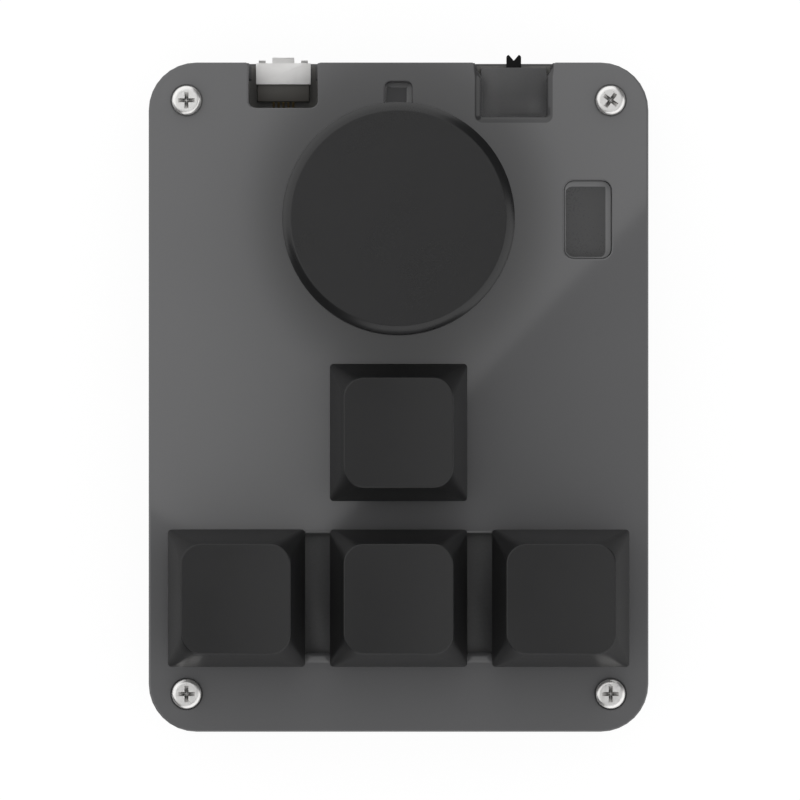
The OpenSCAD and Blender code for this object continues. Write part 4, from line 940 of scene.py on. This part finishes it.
def refine(outline, longest):
    """The same outline with its long sides split."""
    fine = []
    for start, end in pairs(outline):
        pieces = max(1, math.ceil((end - start).length / longest))
        fine += [start.lerp(end, step / pieces) for step in range(pieces)]
    return [point for point, after in pairs(fine) if (point - after).length > WELD_MM]


def outward(outline):
    """Unit steps away from the material, which lies to the left of the outline's run."""
    steps = []
    for before, here, after in zip(outline[-1:] + outline, outline, outline[1:] + outline[:1]):
        first = (here - before).normalized()
        second = (after - here).normalized()
        side = Vector((first.y + second.y, -first.x - second.x)).normalized()
        steps.append(side / max(MITRE_LIMIT, side.dot(Vector((first.y, -first.x)))))
    return steps


def ease(share):
    """A smooth step from 0 to 1."""
    share = min(1, max(0, share))
    return share * share * (3 - 2 * share)


def soft_plate(loops, low, high):
    """A plate with softened top edges. Each loop is its outline, its soft radii and its wall shifts."""
    bm = bmesh.new()
    caps = {low: [], high: []}
    quarter = math.pi / 2
    profile = [(0.0, low, None), (0.0, low + SEAM_SOFT_MM, None), (0.0, high, -1),
               *[(turn, high, 0) for turn in quarter_turn(RIM_STEPS)], (quarter, high, 1)]
    for outline, radii, shifts in loops:
        steps = outward(outline)
        rings = []
        for turn, level, support in profile:
            points = []
            for point, away, radius, shift in zip(outline, steps, radii, shifts):
                out = shift - radius * (1 - math.cos(turn)) - (SEAM_SOFT_MM if level == low else 0)
                z = level
                if support is not None:
                    z -= radius * (1 - math.sin(turn)) + (SUPPORT_MM if support < 0 else 0)
                    out -= SUPPORT_MM if support > 0 else 0
                points.append(bm.verts.new((*(point + away * out), z)))
            rings.append(points)
        bridge(bm, rings)
        for level, points in ((low, rings[0]), (high, rings[-1])):
            caps[level] += [bm.edges.get(pair) for pair in pairs(points)]
    for level, up in ((low, -1), (high, 1)):
        bmesh.ops.triangle_fill(bm, edges=caps[level], use_beauty=True, normal=(0, 0, up))
    bmesh.ops.recalc_face_normals(bm, faces=bm.faces)
    return bm


def capped(bm, rings):
    """Closes a stack of rings into a solid."""
    bridge(bm, rings)
    bm.faces.new(rings[0][::-1])
    bm.faces.new(rings[-1])
    bmesh.ops.recalc_face_normals(bm, faces=bm.faces)
    return bm


def prism(outline, low, high):
    """A plain upright solid on an outline."""
    bm = bmesh.new()
    return capped(bm, [[bm.verts.new((*point, level)) for point in outline] for level in (low, high)])


cover_lo, cover_hi = box_mm("top_cover")
half_w, half_d = cover_hi.x, cover_hi.y
outer = box_corners(0, 0, 2 * half_w, 2 * half_d, CASE_CORNER_MM)
notches = []
for x, width, depth, soft in (SLIDE_NOTCH_MM, USB_NOTCH_MM):
    right, left, end = x + width / 2, x - width / 2, half_d - depth
    notches += [(right, half_d, MOUTH_CORNER_MM), (right, end, NOTCH_CORNER_MM),
                (left, end, NOTCH_CORNER_MM), (left, half_d, MOUTH_CORNER_MM)]
outline = refine(cornered(outer[:3] + notches + outer[3:]), SIDE_STEP_MM)
radii = [EDGE_SOFT_MM] * len(outline)
shifts = [0.0] * len(outline)
for i, point in enumerate(outline):
    for x, width, depth, soft in (SLIDE_NOTCH_MM, USB_NOTCH_MM):
        inward = half_d - MOUTH_CORNER_MM - point.y
        if abs(point.x - x) < width / 2 + WELD_MM and -WELD_MM < inward < depth:
            radii[i] += (soft - EDGE_SOFT_MM) * ease(inward / MOUTH_BLEND_MM)
            shifts[i] = soft * ease(inward / MOUTH_BLEND_MM) if soft > EDGE_SOFT_MM else 0.0
row_y = sum(corner.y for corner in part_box("keycap_down")) * 1000 / 2
key_window = (KEY_WINDOW_MM, KEY_WINDOW_CORNER_MM)
openings = [
    ((0, row_y, 2 * KEY_PITCH_MM[0] + KEY_WINDOW_MM, *key_window), KEY_WINDOW_SOFT_MM),
    ((0, row_y + KEY_PITCH_MM[1], KEY_WINDOW_MM, *key_window), KEY_WINDOW_SOFT_MM),
    (BUTTON_OPENING_MM, POCKET_SOFT_MM), (STATUS_OPENING_MM, POCKET_SOFT_MM)]
holes = [(refine(cornered(box_corners(*opening)), HOLE_STEP_MM), soft) for opening, soft in openings]
holes.append((circle_outline(*KNOB_AT_MM, BUSHING_HOLE_MM / 2), HOLE_SOFT_MM))
holes += [(circle_outline(x, y, SCREW_HOLE_MM / 2, 24), HOLE_SOFT_MM) for x, y in at_corners(*SCREW_AT_MM)]
loops = [(outline, radii, shifts)]
loops += [(hole[::-1], [soft] * len(hole), [0.0] * len(hole)) for hole, soft in holes]

# The front wall of the row's opening slopes up to the cover in the two gaps between the caps.
row_outline, row_radii, row_shifts = loops[1]
for i, point in enumerate(row_outline):
    if point.y < row_y:
        from_gap = abs(abs(point.x) - KEY_PITCH_MM[0] / 2)
        share = ease((GAP_LIP_HALF_MM - from_gap) / GAP_LIP_BLEND_MM)
        row_radii[i] += (GAP_LIP_MM - KEY_WINDOW_SOFT_MM) * share
        row_shifts[i] = GAP_LIP_MM * share
under = cover_hi.z - COVER_SKIN_MM
inside = (2 * (half_w - COVER_RIM_MM), 2 * (half_d - COVER_RIM_MM), CASE_CORNER_MM - COVER_RIM_MM)
pocket = box_corners(*KNOB_AT_MM, *ENCODER_POCKET_MM)
seat_r, seat_deep = SCREW_SEAT_MM
cutters = [prism(cornered(box_corners(0, 0, *inside)), cover_lo.z - CUT_OVER_MM, under),
           prism(cornered(pocket, 1), under - CUT_OVER_MM, ENCODER_POCKET_TOP_MM)]
cutters += [prism(circle_outline(x, y, seat_r), cover_hi.z - seat_deep, cover_hi.z + CUT_OVER_MM)
            for x, y in at_corners(*SCREW_AT_MM)]
cover_bm = carve(soft_plate(loops, cover_lo.z, cover_hi.z), cutters)
place_piece("top_cover_plate", cover_bm, case_plastic, "case_shell", "top_cover")



def shade_case(value, dark_mm, clear_mm, share, where, curve="LINEAR"):
    """Paints shade into the case's colour: takes it down to a share of it where the mask is 1, fading as the
    value grows.
    """
    tree = case_plastic.node_tree
    span = {"From Min": dark_mm * MM, "From Max": clear_mm * MM, "To Min": share - 1, "To Max": 0.0}
    fade = add(tree, "ShaderNodeMapRange", {"Value": value, **span}, interpolation_type=curve).outputs[0]
    scale_colour(case_plastic, calc(tree, "MULTIPLY_ADD", fade, where, 1.0))


# Painted shade: the case's colour is darker on the wide lip of the slide's notch and on all that lies below
# it, standing in for the shade of its walls.
tree = case_plastic.node_tree
x, y, z = add(tree, "ShaderNodeSeparateXYZ", {0: object_place(tree)}).outputs
slide_x, width, depth, _ = SLIDE_NOTCH_MM
across = calc(tree, "COMPARE", x, slide_x * MM, (width / 2 + LIP_OVER_MM) * MM)
along = calc(tree, "COMPARE", y, half_d * MM, (depth + LIP_OVER_MM) * MM)
shade_case(z, cover_hi.z - LIP_FADE_MM, cover_hi.z, LIP_SHADE, calc(tree, "MULTIPLY", across, along))

# Status window and mode button
# The window is smoked acrylic with a flange under the cover, and the mode button is moulded plastic.
# Both have a shallow tray with a paler rim, a painted highlight for the light on its walls. The window's rim
# is also rougher than its floor.
SMOKED = (0.035, 0.035, 0.037, 1)
WINDOW_RIM_HIGHLIGHT = (0.17, 0.17, 0.172, 1)
BUTTON_GREY = (0.060, 0.060, 0.061, 1)
BUTTON_RIM_HIGHLIGHT = (0.180, 0.180, 0.183, 1)
WINDOW_FLANGE_MM = (0.65, 1.0)
WINDOW_GAP_MM = 0.03
WINDOW_SINK_MM = 0.12
BUTTON_FLANGE_MM = (0.85, 0.8)
BUTTON_GAP_MM = 0.08
BUTTON_SINK_MM = 0.16
TRAY_WALL_MM = (0.15, 0.55)
TRAY_CURVE = 1.1
TRAY_STEPS = 6
TRAY_STEP_MM = 1.0
smoked_acrylic = moulded("smoked_acrylic", SMOKED, 0.16, grain=2500, depth=1, contrast=0.15)
frosted_acrylic = moulded("frosted_acrylic", WINDOW_RIM_HIGHLIGHT, 0.35, grain=2500, depth=2, contrast=0.1)
button_plastic = moulded("button_plastic", BUTTON_GREY, 0.30, grain=5200, depth=4, contrast=0.05)
button_rim = moulded("button_rim", BUTTON_RIM_HIGHLIGHT, 0.42, grain=5200, depth=4, contrast=0.05)


def tray(opening, gap, flange, low, floor, sink):
    """A flanged plug that fills an opening of the cover. The tray's walls lean more at its rear and right."""
    x, y, width, depth, corner = opening
    corners = box_corners(x, y, width - 2 * gap, depth - 2 * gap, corner - gap)
    outline = refine(cornered(corners), TRAY_STEP_MM)
    steps = outward(outline)
    reach, thick = flange
    narrow, extra = TRAY_WALL_MM
    walls = [narrow + extra * max(0, away.x, away.y) for away in steps]
    profile = [(reach, 0, low), (reach, 0, low + thick), (0, 0, low + thick)]
    for step in range(TRAY_STEPS + 1):
        share = step / TRAY_STEPS
        profile.append((0, share, floor + sink * (1 - share) ** TRAY_CURVE))
    profile.append((-SUPPORT_MM, 1, floor))
    bm = bmesh.new()
    return capped(bm, [[bm.verts.new((*(point + away * (out - share * wall)), z))
                        for point, away, wall in zip(outline, steps, walls)] for out, share, z in profile])


for node, name, opening, gap, flange, sink, body, floor_material, rim_material, slot in (
        ("led_window", "status_window", STATUS_OPENING_MM, WINDOW_GAP_MM, WINDOW_FLANGE_MM, WINDOW_SINK_MM,
         "root", smoked_acrylic, frosted_acrylic, "smoked_window"),
        ("mode_button_cap", "mode_button_tray", BUTTON_OPENING_MM, BUTTON_GAP_MM, BUTTON_FLANGE_MM,
         BUTTON_SINK_MM, "mode_button", button_plastic, button_rim, "case_shell")):
    low, high = box_mm(node)
    floor = high.z - sink
    tray_bm = tray(opening, gap, flange, low.z, floor, sink)
    mesh = place_piece(name, tray_bm, floor_material, slot, node, body).data
    # Painted highlight: every face off the tray's floor takes the paler rim colour.
    mesh.materials.append(rim_material)
    for face in mesh.polygons:
        face.material_index = int(abs(face.center.z * 1000 - floor) > WELD_MM)

# Case screws
# Four M2 machine screws with low heads and cross recesses hold the cover, the plate and the case
# together. They are nickel plated, and the rear right one stands turned.
SCREW_HEAD_MM = (1.95, 1.5)
SCREW_CROWN_MM = 0.5
SCREW_CROWN_STEPS = 6
SCREW_BRIM_MM = 0.08
SCREW_SHANK_MM = (1.0, 6.0)
SCREW_TIP_MM = (0.3, 0.25)
SCREW_PITCH_MM = 0.4
SCREW_THREAD_MM = 0.12
SCREW_NECK_MM = 0.2
SCREW_SIDES = 48
RECESS_TOP_MM = (2.2, 0.52)
RECESS_FLOOR_MM = (0.6, 0.10)
RECESS_DEPTH_MM = 1.1
RECESS_SHADE_MM = 0.5
RECESS_SHADE_POWER = 0.45
TURNED_SCREW = math.radians(-37)
PLATED = (0.94, 0.93, 0.915, 1)
plated_steel = metal("plated_steel", PLATED, 0.26, scratch=0.10, grain=1800, bare=0.85)
# Painted shade: the plating's colour is darker in the cross recess and the other hollows.
paint_shading_by_openness(plated_steel, RECESS_SHADE_MM, RECESS_SHADE_POWER)
head_r, head_h = SCREW_HEAD_MM
shank_r, shank_l = SCREW_SHANK_MM
root_r = shank_r - SCREW_THREAD_MM
level = -shank_l + SCREW_TIP_MM[1]
profile = [(0, -shank_l), (shank_r - SCREW_TIP_MM[0], -shank_l), (root_r, level)]
while level + SCREW_PITCH_MM < -SCREW_NECK_MM:
    level += SCREW_PITCH_MM
    profile += [(shank_r, level - SCREW_PITCH_MM / 2), (root_r, level)]
profile += [(root_r, 0), (head_r - SCREW_BRIM_MM, 0), (head_r, SCREW_BRIM_MM)]
profile += [(head_r - SCREW_CROWN_MM * (1 - math.cos(turn)), head_h - SCREW_CROWN_MM * (1 - math.sin(turn)))
            for turn in quarter_turn(SCREW_CROWN_STEPS)]
profile += [(head_r - SCREW_CROWN_MM - SUPPORT_MM, head_h), (0, head_h)]
levels = ((RECESS_FLOOR_MM, head_h - RECESS_DEPTH_MM), (RECESS_TOP_MM, head_h),
          (RECESS_TOP_MM, head_h + CUT_OVER_MM))
recess = [bmesh.new(), bmesh.new()]
for quarter, cut in enumerate(recess):
    capped(cut, [[cut.verts.new((sx * length / 2, sy * width / 2, level)) for sx, sy in BOX_SIGNS]
                 for (length, width), level in levels])
    cut.transform(Matrix.Rotation(math.pi / 2 * quarter, 4, "Z"))
screw_bm = carve(turned(profile, SCREW_SIDES), recess)
screw_spots = [(x, y, cover_hi.z - seat_deep, TURNED_SCREW if x > 0 and y > 0 else 0)
               for x, y in at_corners(*SCREW_AT_MM)]
screws = copies_on_points("cross_head_screws", screw_bm, screw_spots, plated_steel)
place_piece("cross_head_screws", screws, plated_steel, "screw_steel", "case_screws")

# Knob
# The knob is turned from aluminium, blasted and anodised black, with a broad chamfer cut round its top.
# It is pushed on the encoder's flatted shaft, over a recess for the nut.
KNOB_R_MM = 15.25
KNOB_CHAMFER_MM = 1.05
KNOB_FOOT_MM = 0.4
KNOB_EDGE_MM = 0.06
KNOB_SIDES = 160
RECESS_R_MM = 7.37
RECESS_ROOF_MM = 23.1
RECESS_SOFT_MM = 0.1
RECESS_MOUTH_MM = 0.15
BORE_R_MM = 3.03
BORE_FLAT_MM = 1.53
BORE_ROOF_MM = 32.4
ANODISED_BLACK = (0.0105, 0.0105, 0.011, 1)
LATHE_LINES = 9000
LATHE_DEPTH_MM = 0.0012
COVER_SHADE = 0.65
COVER_SHADE_MM = (15.2, 22.5)
COVER_SHADE_DEEP_MM = 0.3
COVER_SHADE_SHIFT_MM = (0.6, 1.2, 0)
COVER_SHADE_SHAPE = (1, 0.85, 0)

# Turned rings: a height that changes with the distance from the object's own upright axis
tree, given, result = shader_group(
    "turned_rings", [("Centre", "Vector"), ("Lines per metre", "Float")], [("Height", "Float")])
turned_rings = tree
offset = vector_calc(tree, "SUBTRACT", object_place(tree), given["Centre"])
reach = vector_calc(tree, "LENGTH", vector_calc(tree, "MULTIPLY", offset, (1, 1, 0)))
lines = add(tree, "ShaderNodeTexNoise", {"W": reach, "Scale": given["Lines per metre"], "Detail": 2.0},
            noise_dimensions="1D")
tree.links.new(lines.outputs["Fac"], result["Height"])

anodised = moulded("anodised", ANODISED_BLACK, 0.30, grain=6500, depth=2, contrast=0.12, wear=0.35)
tree = anodised.node_tree
lathe = add(tree, "ShaderNodeGroup", {"Centre": (0, KNOB_AT_MM[1] * MM, 0), "Lines per metre": LATHE_LINES},
            node_tree=turned_rings)
normal = shader_of(anodised).inputs["Normal"]
blasted = normal.links[0].from_socket
both = add(tree, "ShaderNodeBump", {
    "Height": lathe.outputs["Height"], "Distance": LATHE_DEPTH_MM * MM, "Normal": blasted})
tree.links.new(both.outputs[0], normal)

# Painted shade: the cover's colour is a little darker round the knob, standing in for the shade where less
# light comes in under it.
tree = case_plastic.node_tree
place = object_place(tree)
middle = (Vector((*KNOB_AT_MM, 0)) + Vector(COVER_SHADE_SHIFT_MM)) * MM
offset = vector_calc(tree, "MULTIPLY", vector_calc(tree, "SUBTRACT", place, middle), COVER_SHADE_SHAPE)
height = add(tree, "ShaderNodeSeparateXYZ", {0: place}).outputs["Z"]
on_top = calc(tree, "GREATER_THAN", height, (cover_hi.z - COVER_SHADE_DEEP_MM) * MM)
shade_case(vector_calc(tree, "LENGTH", offset), *COVER_SHADE_MM, COVER_SHADE, on_top, "SMOOTHSTEP")

knob_lo, knob_hi = (corner.z for corner in box_mm("knob"))
top_r = KNOB_R_MM - KNOB_CHAMFER_MM
slope = KNOB_EDGE_MM * math.sin(math.pi / 4)
profile = [(0, RECESS_ROOF_MM), (RECESS_R_MM - RECESS_SOFT_MM, RECESS_ROOF_MM),
           (RECESS_R_MM, RECESS_ROOF_MM - RECESS_SOFT_MM), (RECESS_R_MM, knob_lo + RECESS_MOUTH_MM),
           (RECESS_R_MM + RECESS_MOUTH_MM, knob_lo), (KNOB_R_MM - KNOB_FOOT_MM, knob_lo),
           (KNOB_R_MM, knob_lo + KNOB_FOOT_MM), (KNOB_R_MM, knob_lo + KNOB_FOOT_MM + SUPPORT_MM),
           (KNOB_R_MM, knob_hi - KNOB_CHAMFER_MM - KNOB_EDGE_MM),
           (KNOB_R_MM - slope, knob_hi - KNOB_CHAMFER_MM + slope),
           (top_r + slope, knob_hi - slope), (top_r - KNOB_EDGE_MM, knob_hi),
           (top_r - KNOB_EDGE_MM - SUPPORT_MM, knob_hi), (top_r / 2, knob_hi), (0, knob_hi)]
bore = [point for point in circle_outline(0, 0, BORE_R_MM, 64) if point.x < BORE_FLAT_MM]
gaps = [(after - point).length for point, after in pairs(bore)]
split = gaps.index(max(gaps))
lip_y = math.sqrt(BORE_R_MM ** 2 - BORE_FLAT_MM ** 2)
bore = [Vector((BORE_FLAT_MM, lip_y)), *bore[split + 1:], *bore[:split + 1], Vector((BORE_FLAT_MM, -lip_y))]
knob_bm = carve(turned(profile, KNOB_SIDES), [prism(bore, RECESS_ROOF_MM - CUT_OVER_MM, BORE_ROOF_MM)])
bmesh.ops.translate(knob_bm, verts=knob_bm.verts, vec=(*KNOB_AT_MM, 0))
place_piece("knob_turning", knob_bm, anodised, "knob_anodised", "knob", "knob")

# Keycaps
# Four near-black caps with straight leaning sides and a round-cornered top, dished from side to side.
# They are hollow, with a cross socket in a round post that is pushed on the switch stem.
CAP_FOOT_MM = (18.1, 18.1, 0.5)
CAP_TOP_MM = (14.4, 14.5, 2.7)
CAP_ROOM_MM = (15.3, 15.3, 0.4)
CAP_ROOM_TOP_R_MM = 1.35
CAP_ROOF_MM = 1.5
CAP_RIM_MM = 0.15
CAP_RIM_STEPS = 6
CAP_FOOT_EDGE_MM = 0.15
CAP_CORNER_MM = 0.05
CAP_SIDE_STEPS = 6
CAP_CORNER_STEPS = 8
DISH_R_MM = 56.0
DISH_DEPTH_MM = 0.46
DISH_RINGS = 9
POST_R_MM = 2.75
POST_EDGE_MM = 0.15
POST_FOOT_ABOVE_PLATE_MM = 6.6
POST_INTO_ROOF_MM = 0.4
POST_SIDES = 40
SOCKET_MM = ((4.14, 1.35), (1.21, 4.14))
SOCKET_DEPTH_MM = 3.9
CAP_BLACK = (0.0145, 0.0145, 0.0149, 1)
keycap_plastic = moulded("keycap_plastic", CAP_BLACK, 0.36, grain=5200, depth=4, contrast=0.25, wear=0.06,
                         Specular_IOR_Level=0.36)


def cap_ring(width, depth, corner):
    """Round-cornered outline, always with the same number of points."""
    points = []
    for quarter, (sx, sy) in enumerate(((1, -1), (1, 1), (-1, 1), (-1, -1))):
        centre = Vector((sx * (width / 2 - corner), sy * (depth / 2 - corner)))
        turns = [math.pi / 2 * (quarter - 1) + turn for turn in quarter_turn(CAP_CORNER_STEPS)]
        arc = [centre + Matrix.Rotation(turn, 2) @ Vector((corner, 0)) for turn in turns]
        if points:
            points += [points[-1].lerp(arc[0], step / CAP_SIDE_STEPS) for step in range(1, CAP_SIDE_STEPS)]
        points += arc
    return points + [points[-1].lerp(points[0], step / CAP_SIDE_STEPS) for step in range(1, CAP_SIDE_STEPS)]


def cap_between(share, inset=0.0):
    """The cap's outline at a share of its height."""
    width, depth, corner = (foot + (top - foot) * share for foot, top in zip(CAP_FOOT_MM, CAP_TOP_MM))
    return cap_ring(width - 2 * inset, depth - 2 * inset, max(CAP_CORNER_MM, corner - inset))


def keycap(x, y, skirt, top):
    """A hollow cap on its post."""
    height = top - skirt
    floor = top - DISH_DEPTH_MM
    roof = floor - CAP_ROOF_MM
    bm = bmesh.new()

    def dish(point):
        return min(top, floor + point.x ** 2 / (2 * DISH_R_MM))

    def level_ring(outline, z):
        return [bm.verts.new((*point, z)) for point in outline]

    lean = (CAP_FOOT_MM[0] - CAP_TOP_MM[0]) * (roof - skirt) / height
    room_top = cap_ring(CAP_ROOM_MM[0] - lean, CAP_ROOM_MM[1] - lean, CAP_ROOM_TOP_R_MM)
    rings = [level_ring([point * 0.5 for point in room_top], roof), level_ring(room_top, roof),
             level_ring(cap_ring(*CAP_ROOM_MM), skirt), level_ring(cap_between(0, CAP_FOOT_EDGE_MM), skirt),
             level_ring(cap_between(0), skirt + CAP_FOOT_EDGE_MM)]
    rings += [level_ring(cap_between(share), skirt + share * height) for share in (0.25, 0.5, 0.75)]
    rim = cap_between(1, CAP_RIM_MM)
    for turn in quarter_turn(CAP_RIM_STEPS):
        drop = CAP_RIM_MM * (1 - math.sin(turn))
        outline = cap_between(1 - drop / height, CAP_RIM_MM * (1 - math.cos(turn)))
        rings.append([bm.verts.new((*point, dish(above) - drop)) for point, above in zip(outline, rim)])
    face = cap_between(1, CAP_RIM_MM + SUPPORT_MM)
    reach = min(point.length for point in face)
    for step in range(DISH_RINGS):
        share = 1 - step / DISH_RINGS
        outline = [point * share * (share + (1 - share) * reach / point.length) for point in face]
        rings.append([bm.verts.new((*point, dish(point))) for point in outline])
    capped(bm, rings)
    foot = box_mm("switch_plate")[1].z + POST_FOOT_ABOVE_PLATE_MM
    post = turned([(0, foot), (POST_R_MM - POST_EDGE_MM, foot), (POST_R_MM, foot + POST_EDGE_MM),
                   (POST_R_MM, roof + POST_INTO_ROOF_MM), (0, roof + POST_INTO_ROOF_MM)], POST_SIDES)
    cross = [soft_boxes([((-w / 2, -d / 2, foot - CUT_OVER_MM), (w / 2, d / 2, foot + SOCKET_DEPTH_MM))])
             for w, d in SOCKET_MM]
    bm = carve(carve(bm, [post], "UNION"), cross)
    bmesh.ops.translate(bm, verts=bm.verts, vec=(x, y, 0))
    return bm


for name in KEY_NAMES:
    node = "keycap_" + name
    low, high = box_mm(node)
    cap = keycap((low.x + high.x) / 2, (low.y + high.y) / 2, low.z, high.z)
    place_piece("keycap_shell_" + name, cap, keycap_plastic, "keycap_plastic", node, "key_" + name)

visual_lo, visual_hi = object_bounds()
sizes = {"cad": [list(cad_lo), list(cad_hi)], "visual": [list(visual_lo), list(visual_hi)]}
